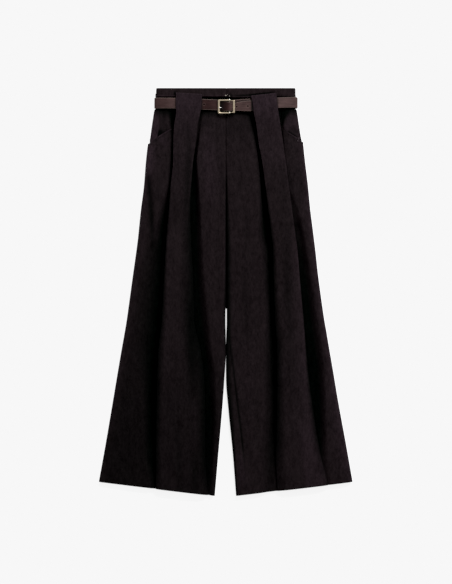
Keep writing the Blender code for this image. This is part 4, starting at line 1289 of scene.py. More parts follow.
def above_mouth(side, x, y):
    """Height above the mouth's line."""
    line = np.abs(np.array(MOUTH[side], float)[::-1])
    return y - np.interp(np.abs(x), line[:, 0], line[:, 1])


def mouth_distance(side, x, y):
    """Distance from the mouth's line."""
    ends = zip(MOUTH[side][:-1], MOUTH[side][1:])
    return np.minimum.reduce([segment_distance(x, y, start, end)[0] for start, end in ends])


def cut_mouth(side, y, *arrays):
    """Above the mouth's outer end, each section starts at the mouth; its first columns are squeezed
    together there and the others stay where they are."""
    index = np.arange(arrays[0].shape[1])
    made = [a.copy() for a in arrays]
    for row in np.flatnonzero(y[:, 0] > MOUTH[side][0][1]):
        x = arrays[0][row, ROLLED:]
        past_mouth = (x - mouth_x(side, y[row, 0])) * np.sign(x[-1] - x[0])
        start = np.interp(0, past_mouth, index[ROLLED:])
        kept = start + SQUEEZED
        spaced = np.where(index < kept, start + (kept - start) * index / kept, index)
        for result, source in zip(made, arrays):
            result[row] = np.interp(spaced, index, source[row])
    return made


def leg_dimming(side, y):
    """The left leg is painted darker towards the hem."""
    return LEG_DIMS[side] * below(y, *LEG_DIMS_FROM)


def tone_marks(light, painted_highlight):
    """Painted shade and painted highlight marks for the finish, from how much of its light a point keeps, 1
    being plain cloth, and how much highlight is painted on it."""
    painted_shade = np.clip(1 - light, 0, 1)
    lighter = np.clip(light - 1, 0, 1) / HIGHLIGHT_LIGHTENS
    return {"painted_shade": painted_shade, "painted_highlight": np.clip(painted_highlight * (1 - painted_shade) + lighter, 0, MOST_HIGHLIGHT)}


def outseam_rim(side, y, distance):
    """How much highlight is painted along the outseam. Left: a narrow rim, strongest at the hip. Right: a
    narrow rim and a broad glow, which both weaken at the hem."""
    if side == "left":
        upper = above(y, *RIM_UPPER)
        hip = RIM_HIP * above(y, *RIM_HIP_FOOT) * below(y, *RIM_HIP_TOP)
        strength = RIM_LEFT + RIM_GROWS * upper + hip - RIM_LEFT * below(y, *RIM_LOWER)
        return strength * np.exp(-distance / (RIM_WIDTH + RIM_WIDENS * upper))
    broad = GLOW_UPPER + GLOW_GROWS * below(y, *GLOW_LOWER)
    rim = RIM_RIGHT * np.exp(-distance / RIM_WIDTH) + broad * np.exp(-distance / GLOW_WIDTH)
    return rim * (1 - GLOW_END_LOSES * below(y, *GLOW_ENDS))


def make_front(side):
    """The front of a leg with its creases, its painted shade and highlights, the mouth's lip and the
    turned-up hem.
    """
    leg, grid, painted_shade, faces_up, section_x = front_grid(side)
    x, y = grid[..., 0], grid[..., 1]
    rise, shade = creases(x, y, FRONT_CREASES)
    from_outseam = np.abs(section_x - leg.at("outseam"))
    from_inseam = np.abs(section_x - leg.at("inseam"))
    reach = np.interp(-y, -values(GAP_ROWS, GAP_COLUMNS, "y"), values(GAP_ROWS, GAP_COLUMNS, side))
    if side == "right":
        seam = route_line(x, y, INSEAM_LINE, INSEAM_WIDTH)
        rise = rise - INSEAM_SINKS * seam
        shade = shade + INSEAM_SHADE * seam
    beside_panel = below(y, *SIDE_DIMS_FROM) * smoothstep(from_outseam / SIDE_DIMS_OVER)
    dim = SIDE_DIMS[side] * beside_panel * (section_x < leg.at("panel_out"))
    gap = GAP_SHADE * np.clip(1 - (from_inseam / reach) ** 2, 0, 1) * below(y, *GAP_STARTS)
    under_belt = 1 - BELT_SHADE * above(y, *BELT_SHADOW)
    under_belt = under_belt * (1 - BELT_DIMS[side] * above(y, *BELT_DIMS_FROM))
    lit = (1 - np.clip(shade * faces_up, MOST_PALE, 1)) * (1 - dim) * (1 - leg_dimming(side, y))
    light = (1 - painted_shade) * lit * (1 - gap) * under_belt
    past_panel = np.abs(x) > np.abs(leg.at("panel_out")) - PANEL_SHADOW_REACH
    light = light * (1 - PANEL_SHADE * above(y, *PANEL_SHADOW) * past_panel)
    lip = bell(mouth_distance(side, x, y) - LIP_AT, LIP_WIDTH) * lip_shows(side, x)
    turned_up = HEM_RIDGE * below(leg.y, HEM_OUTER + HEM_DEEP, HEM_RIDGE_OVER)
    grid[..., 2] += (rise + LIP_RISE * lip + turned_up) * faces_up
    # Painted shade from pleats, creases, gap, belt and panel; painted highlight along the outseam and lip.
    marks = tone_marks(light, outseam_rim(side, y, from_outseam) + lip)
    cloth_piece(
        f"{side}_front_cloth", grid, CLOTH, marks, f"front_leg_{side}"
    )


def lip_shows(side, x):
    """Where the mouth's folded lip stands out. The right one lies so tight towards the middle, and both are
    so flat towards the outside, that they can't be seen there."""
    out = np.abs(x)
    (inner, inner_over), (outer, outer_over) = LIP_FROM[side], LIP_TO[side]
    return above(out, inner, inner_over) * below(out, outer, outer_over)


def make_panel(side):
    """The pleat panel. Across: a return under it, a tight fold, the crowned top, a fold and the other
    return. Where an edge is soft, the top sinks towards it as a parabola instead of a sharp fold."""
    leg = Leg(side, stations(BODY_TOP, HEM_OUTER))
    y, inward = leg.y, leg.inward
    outer, inner = leg.at("panel_out"), leg.at("panel_in")
    drop = below(y, *RETURN_DROPS)
    edge_z = leg.height("panel") + SECOND_STRAP_LIFT[side] * (1 - drop)
    fold = (PANEL_CLOTH + CLEAR) / 2
    rest = bed(y) + CLOTH / 2 + 2 * CLEAR + PANEL_CLOTH / 2
    width = TAB_RETURN + (RETURN_WIDTH - TAB_RETURN) * drop
    out_soft, in_soft = leg.at("out_soft"), leg.at("in_soft")

    def under_side(at, towards, sink):
        """Return and fold at one edge, from the return's end to the top."""
        share = across(RETURN_COLUMNS, False)
        under = edge_z - sink - 2 * fold
        end_z = under + (np.minimum(rest, under) - under) * drop
        return_x = at + towards * (width * (1 - share) + fold)
        return_z = end_z + (under - end_z) * share**RETURN_CURVE
        angle = math.pi * (across(FOLD_COLUMNS, False) - 0.5)
        fold_x = at + towards * fold * (1 - np.cos(angle))
        fold_z = edge_z - sink - fold + fold * np.sin(angle)
        x = np.concatenate([return_x, fold_x], axis=1)
        return x, np.concatenate([return_z, fold_z], axis=1)

    out_x, out_z = under_side(outer, inward, SOFT_SINK * out_soft)
    in_x, in_z = under_side(inner, -inward, SOFT_SINK * in_soft)
    share = across(TOP_COLUMNS)
    top_x = outer + inward * fold + (inner - outer - 2 * inward * fold) * share
    out_near = np.clip(1 - np.abs(top_x - outer) / (out_soft + TINY), 0, 1)
    in_near = np.clip(1 - np.abs(top_x - inner) / (in_soft + TINY), 0, 1)
    sink = SOFT_SINK * (out_soft * out_near**2 + in_soft * in_near**2)
    top_z = edge_z + leg.height("crown") * (4 * share * (1 - share)) ** CROWN_CURVE - sink
    x = np.concatenate([out_x, top_x, in_x[:, ::-1]], axis=1)
    z = np.concatenate([out_z, top_z, in_z[:, ::-1]], axis=1)
    from_y, out_fade, in_fade = EDGE_FADES[side]
    faded = below(y, from_y, EDGE_FADE_OVER)
    out_near, in_near = out_near * (1 - out_fade * faded), in_near * (1 - in_fade * faded)
    out_hidden, in_hidden = np.ones_like(out_x), np.ones_like(in_x)
    turned = across(FOLD_COLUMNS, False)
    out_hidden[:, RETURN_COLUMNS:] = 1 + (EDGE_SHADE * out_near[:, :1] - 1) * turned
    in_hidden[:, RETURN_COLUMNS:] = 1 + (EDGE_SHADE * in_near[:, -1:] - 1) * turned
    top_edges = EDGE_SHADE * np.maximum(out_near, in_near)
    edges = np.concatenate([out_hidden, top_edges, in_hidden[:, ::-1]], axis=1)
    faces_up = np.concatenate([0 * out_x, 1 + 0 * top_x, 0 * in_x], axis=1)
    grid = leg.place(x, z)
    tilt_top(grid, leg)
    rise, shade = creases(grid[..., 0], grid[..., 1], PANEL_CREASES)
    from_edge = np.minimum(np.abs(x - outer), np.abs(x - inner))
    grid[..., 2] += rise * faces_up * np.clip(from_edge / CREASES_START_OVER, 0, 1)
    # Painted shade at the returns, folds, soft edges and creases; the sheen below is a painted highlight.
    light = (1 - edges) * (1 - np.clip(shade, MOST_PALE, 1) * faces_up)
    light = light * (1 - leg_dimming(side, grid[..., 1]))
    painted_highlight = panel_sheen(side, leg, x, out_soft, in_soft) * faces_up
    cloth_piece(
        f"{side}_pleat_panel_cloth", grid, PANEL_CLOTH, tone_marks(light, painted_highlight),
        f"pleat_panel_{side}",
    )


def panel_sheen(side, leg, x, out_soft, in_soft):
    """How much highlight is painted on the panel: most over the belt, a little down to the hip, along sharp
    edges, and beside the outer edge lower down."""
    top = PANEL_PALE[side] + HIP_PALE * above(leg.y, *HIP_PALE_FROM)
    top = top + BELT_PALE * above(leg.y, *BELT_PALE_FROM)
    from_outer = np.abs(x - leg.at("panel_out"))
    from_inner = np.abs(x - leg.at("panel_in"))
    outer_lip = OUTER_LIP * bell(from_outer, PANEL_LIP_WIDTH) * smoothstep(1 - out_soft / LIP_SOFT)
    inner_lip = INNER_LIP * bell(from_inner, PANEL_LIP_WIDTH) * smoothstep(1 - in_soft / LIP_SOFT)
    past_soft = np.clip(from_outer - out_soft, 0, None)
    broad = PANEL_OUTER_GLOW[side] * np.exp(-past_soft / PANEL_GLOW_WIDTH)
    lower = below(leg.y, *PANEL_GLOW_FROM)
    return top * above(leg.y, *PANEL_PALE_FROM) + outer_lip + inner_lip + broad * lower


def tilt_top(grid, leg):
    """Slants the panel's top edge, sharing the change over its first stretch."""
    outer_y, inner_y = PANEL_TOPS[leg.side]
    x = grid[0, :, 0]
    share = np.clip((x - x.min()) / np.ptp(x), 0, 1)
    share = share if leg.side == "left" else 1 - share
    change = outer_y + (inner_y - outer_y) * share - BODY_TOP
    near = np.clip((leg.y - (BODY_TOP - TILT_OVER)) / TILT_OVER, 0, 1)
    grid[..., 1] += near * change[None, :]


def make_facing(side):
    """Pocket facing: a half turn round the side, a crest, and a slope that tucks in under the front."""
    y = stations(BODY_TOP, MOUTH_FOOT, step=FACING_STEP)
    inward = 1 if side == "left" else -1
    low = bed(y)

    def at(name, heights=y):
        """A column of the facing's table."""
        return column(FACING_ROWS[side], FACING_COLUMNS, name, heights)

    crest, outseam, fold, end = at("crest"), at("outseam"), at("side_fold"), at("inner_end")
    roll_x, roll_z = half_turn(outseam, inward, crest, low)
    flat = across(FACING_FLAT_COLUMNS, False)
    flat_x = outseam + inward * EDGE_ROLL + (fold - outseam - inward * EDGE_ROLL) * flat
    slope = across(FACING_SLOPE_COLUMNS)
    end_z = low + (crest - FACING_TUCK_DEPTH - low) * below(y, *FACING_TUCKS)
    down_x = fold + (end - fold) * slope
    down_z = end_z + (crest - end_z) * (1 + np.cos(math.pi * slope)) / 2
    x = np.concatenate([roll_x, flat_x, down_x], axis=1)
    z = np.concatenate([roll_z, crest + 0 * flat_x, down_z], axis=1)
    y = y + 0 * x
    rise, shade = creases(x, y, FACING_CREASES)
    # Painted shadow from the panel, the mouth and the belt, and a painted highlight on the strip and its
    # rim.
    lit_x, lit_y, lit_slope, fade = FACING_LIT[side]
    shadow = smoothstep(((x - lit_x) * inward - (y - lit_y) * lit_slope) / fade)
    shadow = np.maximum(shadow, mouth_shadow(side, x, y))
    edge = np.abs(x - at("outseam", y))
    light = (1 - shadow) * (1 - np.clip(shade, MOST_PALE, 1)) * (1 - BELT_SHADE * above(y, *BELT_SHADOW))
    dulled = 1 - FACING_DULL_SHARE * below(y, FACING_DULLS[side], FACING_DULLS_OVER)
    painted_highlight = FACING_GLOW[side] * above(np.abs(x), *FACING_STRIP[side]) * dulled
    painted_highlight = painted_highlight + FACING_RIM[side] * np.exp(-edge / FACING_RIM_WIDTH)
    grid = in_space(x, y, z + rise * smoothstep(edge / FACING_EDGE_FLAT))
    cloth_piece(
        f"{side}_pocket_cloth", grid, CLOTH, tone_marks(light, painted_highlight),
        f"pocket_facing_{side}",
    )


def mouth_shadow(side, x, y):
    """Shadow in the pocket's mouth: on the left a triangle between its line, a level line above it and the
    lit strip; on the right a thin wedge along its line. Both fade inwards."""
    out = np.abs(x)
    if side == "left":
        lit_edge, lit_over = TRIANGLE_OUT
        leaning = lit_edge + TRIANGLE_LEAN * (TRIANGLE_LEANS_FROM - y)
        triangle = below(y, *TRIANGLE_TOP) * below(out, leaning, lit_over)
        darkness = TRIANGLE_SHADE + TRIANGLE_SHADE_GROWS * above(out, *TRIANGLE_DARKENS)
        return triangle * darkness * above(out, *TRIANGLE_IN)
    height = np.clip(above_mouth(side, x, y) - WEDGE_STARTS, 0, None)
    wedge = bell(height, WEDGE_WIDTH - WEDGE_NARROWS * (out - WEDGE_IN[0]))
    return WEDGE_SHADE * wedge * below(out, *WEDGE_OUT) * above(out, *WEDGE_IN)


def back_edge(leg):
    """The back's outer edge: tabled beside the pocket, and below it inside the front's rolled edge."""
    below = BACK_ROWS[-1][0] - leg.y
    inset = BACK_INSET + BACK_INSET_GROWS * np.clip(below / BACK_INSET_LENGTH, 0, 1)
    tabled = leg.sign * column(BACK_ROWS, BACK_COLUMNS, "outseam", leg.y)
    return np.where(below <= 0, tabled, leg.at("outseam") - leg.sign * inset)


def make_back(side):
    """Seat and back of a leg: flat on the surface, raised over the belt. The two are sewn together along
    the middle until the legs part."""
    leg = Leg(side, stations(BODY_TOP, BACK_ROWS[-1][0], LEGS_PART, HEM_OUTER, step=BACK_STEP))
    outer = back_edge(leg)
    seam = CENTRE - leg.sign * BACK_LAP
    apart = below(leg.y, LEGS_PART, PARTING_LENGTH)
    inner = seam + (leg.at("inseam") + leg.sign * BACK_INSET - seam) * apart
    x = outer + (inner - outer) * across(TOP_COLUMNS)
    grid = leg.place(x, lift(leg.y) + CLOTH / 2)
    rise, shade = creases(grid[..., 0], grid[..., 1], BACK_CREASES)
    grid[..., 2] += rise * np.clip(np.abs(x - outer) / BACK_EDGE_FLAT, 0, 1)
    # Painted shade beside the seat's seam, on the strips the panels cover, and in the creases.
    painted_shade = np.clip(1 - np.abs(x - seam) / SEAT_SEAM_WIDTH, 0, 1) * (1 - apart)
    inner_covered, outer_covered = UNDER_PANEL
    covered = above(leg.y, *COVERED_FROM) * (np.abs(x) > inner_covered) * (np.abs(x) < outer_covered)
    painted_shade = np.maximum(painted_shade, np.maximum(covered, np.clip(shade, 0, 1)))
    marks = {"painted_shade": smoothstep(2 * painted_shade), "painted_highlight": 0 * x}
    cloth_piece(f"{side}_back_cloth", grid, CLOTH, marks, f"back_leg_{side}")


def make_fly():
    """The plain strip behind the centre front."""
    y = stations(BODY_TOP, FLY_END, step=LEG_STEP)
    grid = in_space(CENTRE - FLY_HALF + 2 * FLY_HALF * across(FLY_COLUMNS), y, bed(y))
    # The fly strip is painted in full shade.
    marks = {"painted_shade": 1.0, "painted_highlight": 0.0}
    cloth_piece("fly_cloth", grid, PANEL_CLOTH, marks, "fly_shield")


# ---------------------------------------------------------------- waistband, loops and closure
def band_path(side, front, from_x):
    """One layer of the waistband: flat, then a quarter of an ellipse to the side seam, where the front
    layer runs on a little and the back one stops short."""
    sign = -1 if side == "left" else 1
    middle = (BAND_FRONT_Z + BAND_BACK_Z) / 2
    tall = (BAND_FRONT_Z - BAND_BACK_Z) / 2
    angle = np.linspace(math.pi / 2, BAND_ENDS_AT["front" if front else "back"], 14)
    roll_x = sign * (BAND_HALF[side] - BAND_CLOTH / 2 - BAND_ROLL + BAND_ROLL * np.cos(angle))
    roll_z = middle + tall * np.sin(angle) * (1 if front else -1)
    flat_x = np.linspace(from_x, roll_x[0], round(abs(roll_x[0] - from_x) / BAND_STEP))[:-1]
    x = np.concatenate([flat_x, roll_x])
    return x, np.concatenate([np.full_like(flat_x, roll_z[0]), roll_z])


def make_band(name, x, z, node, front):
    """One layer of the waistband as a flat strap. The front ones have creases with painted shade, a sag
    where the right one hangs from the buckle, a painted shadow under the lap, and painted highlights on the
    edges."""
    path = in_space(x, WAIST_TOP - BAND_HEIGHT / 2, z)
    heights, thicknesses = np.full(len(x), float(BAND_HEIGHT)), np.full(len(x), BAND_CLOTH)
    grid = ribbon(path, heights, thicknesses, BAND_POINTS, BAND_SQUARENESS)
    gx, gy = grid[..., 0], grid[..., 1]
    painted_shade = np.zeros_like(gx)
    painted_highlight = np.zeros_like(gx)
    if front:
        low_share = np.clip((WAIST_TOP - BAND_HEIGHT / 2 - gy) / (BAND_HEIGHT / 2), 0, 1)
        sag = BAND_SAG * above(gx, *BAND_SAG_FROM) * below(gx, *BAND_SAG_TO)
        gy -= sag * low_share**2
        top = np.clip((grid[..., 2] - z[:, None]) / (BAND_CLOTH / 2), 0, 1)
        rise, shade = creases(gx, gy, BAND_CREASES)
        grid[..., 2] += rise * top
        lap = LAP_SHADE * below(gx, *LAP_SHADE_TO) * above(gx, *LAP_SHADE_FROM) * below(gy, *LAP_SHADE_TOP)
        painted_shade = np.clip(shade + lap, 0, 1) * top
        (low_pale, low_width), (top_pale, top_width) = BAND_LIP, BAND_TOP_LIP
        lower_lip = bell(gy - WAIST_TOP + BAND_HEIGHT - BAND_LIP_AT, low_width) * (gx < CENTRE)
        painted_highlight = low_pale * top * lower_lip + top_pale * top * bell(gy - WAIST_TOP, top_width)
    marks = {"painted_shade": painted_shade, "painted_highlight": painted_highlight}
    piece = mesh_piece(name, grid, closed_strip(grid), BAND_CLOTH_FINISH, marks, flat_cloth(grid))
    outward(piece)
    ride_and_replace(piece, "cloth", node)


def make_waistband():
    """The left front layer, the right one with its lap under it, and the back one."""
    left_x, left_z = band_path("left", True, LEFT_BAND_END)
    make_band("left_front_band", left_x, left_z, "waistband_front_left", True)
    right_x, right_z = band_path("right", True, LAP_RISES_TO)
    lap_x = values(LAP_ROWS, LAP_COLUMNS, "x")
    lap_z = BAND_FRONT_Z - values(LAP_ROWS, LAP_COLUMNS, "drop")
    fine_x = np.linspace(lap_x[0], lap_x[-1], LAP_COLUMNS_FINE)
    right_x = np.concatenate([fine_x, right_x])
    right_z = np.concatenate([np.interp(fine_x, lap_x, lap_z), right_z])
    make_band("right_front_band", right_x, right_z, "waistband_front_right", True)
    back_left_x, back_left_z = band_path("left", False, 0)
    back_right_x, back_right_z = band_path("right", False, 0)
    back_x = np.concatenate([back_left_x[::-1], back_right_x[1:]])
    back_z = np.concatenate([back_left_z[::-1], back_right_z[1:]])
    make_band("back_band", back_x, back_z, "waistband_back", False)


def make_loops():
    """Three plain loops over the belt's back."""
    rows = np.array(LOOP_ROWS)
    for side, x in LOOP_AT.items():
        grid = in_space(x + LOOP_WIDTH * (across(10) - 0.5), rows[:, :1], rows[:, 1:])
        marks = {"painted_shade": 0.0, "painted_highlight": 0.0}
        node = f"belt_loop_{side}"
        cloth_piece(f"{side}_loop_cloth", grid, LOOP_CLOTH, marks, node)


def make_closure():
    """Hook and bar: small plates, each a superellipse outline, its thickness rounded at the edge."""
    for name, fitting in CLOSURE.items():
        long, wide, thick = fitting["size"]
        u, v = rounded(PLATE_POINTS, PLATE_SQUARENESS)
        angle = np.linspace(-math.pi / 2, math.pi / 2, PLATE_RINGS)[:, None]
        shrink = 1 - PLATE_ROUNDING * (1 - np.cos(angle))
        x = fitting["x"] + long / 2 * u[None, :] * shrink
        y = fitting["y"] + wide / 2 * v[None, :] * shrink
        grid = in_space(x, y, CLOSURE_Z + thick / 2 * np.sin(angle))
        piece = outward(mesh_piece(name + "_plate", grid, closed_strip(grid), FITTINGS))
        ride_and_replace(piece, "hook", name)


# ---------------------------------------------------------------- sewing
STITCH_PITCH = 3.0
STITCH_LENGTH = 2.3
STITCH_ARCH = 0.25
STITCH_SINKS = 0.12
STITCH_SHAPE = (0.35, 0.9, 1.0, 0.9, 0.35)
STITCHES_BELOW = 4.5
THREAD_RADIUS = 0.22
THREAD_LIFT = 0.6
TACK_RADIUS = 0.42
TACK_BESIDE = 0.8
TACK_CROSSES = (((186.5, 390.5), (191.5, 396.0)), ((188.5, 396.5), (193.5, 401.0)))


def stitch_line(start, end):
    """Starts and ends, on the flat, of the stitches that fit on a straight line."""
    start, end = np.asarray(start, float), np.asarray(end, float)
    length = np.linalg.norm(end - start)
    count = max(1, round(length / STITCH_PITCH))
    first = np.arange(count)[:, None] / count
    last = first + STITCH_LENGTH / length
    return np.concatenate([start + (end - start) * first, start + (end - start) * last], axis=1)


def sewn(name, stitches, radius, material):
    """Stitches on the front beside its mouth: short rods, arched a little, each from one point to
    another."""
    turn = np.linspace(0, 2 * math.pi, 6, endpoint=False)
    share = np.linspace(0, 1, len(STITCH_SHAPE))
    starts, ends = stitches[:, :2], stitches[:, 2:]
    flat = starts[:, None] + (ends - starts)[:, None] * share[None, :, None]
    arch = STITCH_ARCH * np.sin(math.pi * share) - STITCH_SINKS
    middle = np.concatenate([flat, (front_face(flat[..., 1]) + arch)[..., None]], axis=2)
    along = (ends - starts) / np.linalg.norm(ends - starts, axis=1)[:, None]
    side = np.stack([-along[:, 1], along[:, 0], 0 * along[:, 0]], axis=1)
    size = radius * np.array(STITCH_SHAPE)
    ring = np.cos(turn)[None, None, :, None] * side[:, None, None, :]
    ring = ring + np.sin(turn)[None, None, :, None] * np.array([0.0, 0.0, 1.0])
    grids = middle[:, :, None, :] + size[None, :, None, None] * ring
    piece = joined(name, [(grid, closed_strip(grid)) for grid in grids], material)
    ride_and_replace(piece, "cloth")


def front_face(y):
    """Height of the front's upper face beside its mouth, with the thread's half on it."""
    return column(HEIGHT_ROWS, HEIGHT_COLUMNS, "side", y) + CLOTH / 2 + THREAD_LIFT


def make_sewing():
    """Dark topstitching beside the pocket mouths and pale bar tacks at the right one's outer end."""
    for side in ("left", "right"):
        line = np.array(MOUTH[side], float) - np.array([0.0, STITCHES_BELOW])
        rows = [stitch_line(a, b) for a, b in zip(line[:-1], line[1:])]
        sewn(f"{side}_mouth_stitches", np.concatenate(rows), THREAD_RADIUS, DARK_THREAD)
    crosses = []
    for (x0, y0), (x1, y1) in TACK_CROSSES:
        beside = TACK_BESIDE
        crosses += [(x0, y0, x1, y1), (x0, y1, x1, y0), (x0, y0 + beside, x1, y1 + beside)]
    sewn("right_mouth_tack", np.array(crosses, float), TACK_RADIUS, PALE_THREAD)


# ---------------------------------------------------------------- belt
def smooth_route(rows, spacing=1.2):
    """Catmull-Rom curve through the rows of a table, all its columns together."""
    rows = np.asarray(rows, float)
    padded = np.concatenate([[2 * rows[0] - rows[1]], rows, [2 * rows[-1] - rows[-2]]])
    pieces = []
    for a, b, c, d in zip(padded[:-3], padded[1:-2], padded[2:-1], padded[3:]):
        count = max(2, round(float(np.linalg.norm((c - b)[:3])) / spacing))
        t = np.linspace(0, 1, count, endpoint=False)[:, None]
        square, cube = 2 * a - 5 * b + 4 * c - d, 3 * b - a - 3 * c + d
        pieces.append(0.5 * (2 * b + (c - a) * t + square * t**2 + cube * t**3))
    return np.concatenate(pieces + [rows[-1:]])


def belt_rows(x, y, z, width, thick, painted_sheen):
    """Rows of the belt's table from arrays and numbers, none of them in shadow."""
    columns = (x, y, z, width, thick, painted_sheen, 0.0)
    return np.stack([np.broadcast_to(value, np.shape(x)) for value in columns], axis=1)


def belt_turn(side):
    """Half-turn of the strap round the side of the waist, from front to back."""
    sign = -1 if side == "left" else 1
    middle, radius = (BELT_FRONT_Z + BELT_BACK_Z) / 2, (BELT_FRONT_Z - BELT_BACK_Z) / 2
    angle = np.linspace(math.pi / 2, -math.pi / 2, TURN_RINGS)
    share = np.linspace(0, 1, TURN_RINGS)
    x = BELT_TURN_X[side] + sign * radius * np.cos(angle)
    y = BELT_TURN_Y[side] + (BELT_BACK_Y - BELT_TURN_Y[side]) * share
    z = middle + radius * np.sin(angle)
    return belt_rows(x, y, z, STRAP_WIDTH, STRAP_THICK, TURN_SHEEN[side])


def bar_wrap():
    """The strap's thinned end, most of a turn round the buckle's bar."""
    radius = BAR_RADIUS + CLEAR + TONGUE_THICK / 2
    angle = np.linspace(math.pi / 2 - 0.15, 3 * math.pi / 2, WRAP_RINGS)
    x, z = BAR_X + radius * np.cos(angle), BAR_Z + radius * np.sin(angle)
    return belt_rows(x, BUCKLE_Y, z, STRAP_WIDTH - 2, TONGUE_THICK, 0.0)


def make_belt():
    """The strap: a superellipse with tight corners along its whole route, with punched holes."""
    right_end, left_end = BELT_TURN_X["right"] - BACK_STARTS, BELT_TURN_X["left"] + BACK_STARTS
    back_x = np.linspace(right_end, left_end, BACK_RINGS)
    parts = [
        bar_wrap(),
        smooth_route(BUCKLE_SIDE_ROWS),
        belt_turn("right"),
        belt_rows(back_x, BELT_BACK_Y, BELT_BACK_Z, STRAP_WIDTH, STRAP_THICK, BACK_SHEEN),
        belt_turn("left")[::-1],
        smooth_route(PUNCHED_ROWS),
    ]
    route = np.concatenate(parts)
    route_y, width, thick, painted_sheen, shadow = (
        route[:, BELT_COLUMNS.index(name)] for name in ("y", "width", "thick", "painted_sheen", "shadow")
    )
    grid = ribbon(route[:, :3], width, thick, STRAP_POINTS, STRAP_SQUARENESS)
    beside = np.abs(grid[..., 1] - route_y[:, None]) / (width[:, None] / 2)
    # The cut edge is paler as edge paint and as a painted highlight; the face carries painted sheen and
    # shadow.
    marks = {
        "edge": above(beside, *CUT_EDGE),
        "painted_sheen": np.clip(painted_sheen[:, None], 0, 1),
        "shadow": np.clip(np.maximum(shadow[:, None], strap_shadow(grid)), 0, 1),
    }
    piece = outward(mesh_piece("belt_leather_strap", grid, closed_strip(grid), LEATHER, marks))
    for name, (x, y, z, length) in BELT_HOLES.items():
        punch(piece, name, x, y, z, length)
    ride_and_replace(piece, "belt", "belt_strap")


def strap_shadow(grid):
    """Shadow on the strap's own front: just above the upper edge of its punched end, which lies on top, and
    beside each of the panels that carry it."""
    x, y, z = grid[..., 0], grid[..., 1], grid[..., 2]
    end = [row for row in PUNCHED_ROWS if row[0] >= PUNCHED_END_X]
    end_x, end_y, end_width = (values(end, BELT_COLUMNS, name) for name in ("x", "y", "width"))
    upper_edge = np.interp(x, end_x, end_y + end_width / 2)
    front = z > BELT_FRONT_Z - 1
    under_end = front * (z < BELT_FRONT_Z + END_SHADOW_BELOW)
    over = above(x, *END_SHADOW_FROM) * below(x, *END_SHADOW_TO) * under_end
    line = bell(y - upper_edge - END_SHADOW_ABOVE, END_SHADOW_WIDTH) * over
    tucked = [strength * bell(x - at, width) * front for at, strength, width in TUCKED_AT]
    return np.maximum.reduce([END_SHADE * line, *tucked])


def punch(piece, name, x, y, z, length):
    """Cuts a round hole through the strap and applies it."""
    circle = np.linspace(0, 2 * math.pi, HOLE_POINTS, endpoint=False)[None, :]
    ends = np.array([[-0.5], [0.5]])
    grid = in_space(x + HOLE_RADIUS * np.cos(circle), y + HOLE_RADIUS * np.sin(circle), z + length * ends)
    marks = {"edge": 0.0, "painted_sheen": 0.0, "shadow": HOLE_SHADE}
    punch_tool = outward(mesh_piece("punch_" + name, grid, closed_strip(grid), LEATHER, marks))
    cut = piece.modifiers.new("hole", "BOOLEAN")
    cut.operation = "DIFFERENCE"
    cut.object = punch_tool
    bpy.context.view_layer.objects.active = piece
    bpy.ops.object.modifier_apply(modifier="hole")
    bpy.data.objects.remove(punch_tool, do_unlink=True)


# ---------------------------------------------------------------- buckle
def frame_outline(angle, half_long, half_tall, squareness=16.0):
    """Distance out from the middle to a rectangle with tight round corners, along each angle."""
    c, s = np.abs(np.cos(angle)), np.abs(np.sin(angle))
    return ((c / half_long) ** squareness + (s / half_tall) ** squareness) ** (-1 / squareness)


def tube(path, radii, count=14, squareness=2.0):
    """A rod along a path: a round or square-round section carried along it, from pole to pole."""
    tangent = np.gradient(path, axis=0)
    tangent /= np.linalg.norm(tangent, axis=1)[:, None]
    side = np.tile([0.0, 1.0, 0.0], (len(path), 1))
    side = side if abs(tangent[0, 1]) < 0.9 else np.tile([1.0, 0.0, 0.0], (len(path), 1))
    up = np.cross(tangent, side)
    u, v = rounded(count, squareness)
    return path[:, None, :] + np.asarray(radii)[:, None, None] * (
        u[None, :, None] * side[:, None, :] + v[None, :, None] * up[:, None, :]
    )


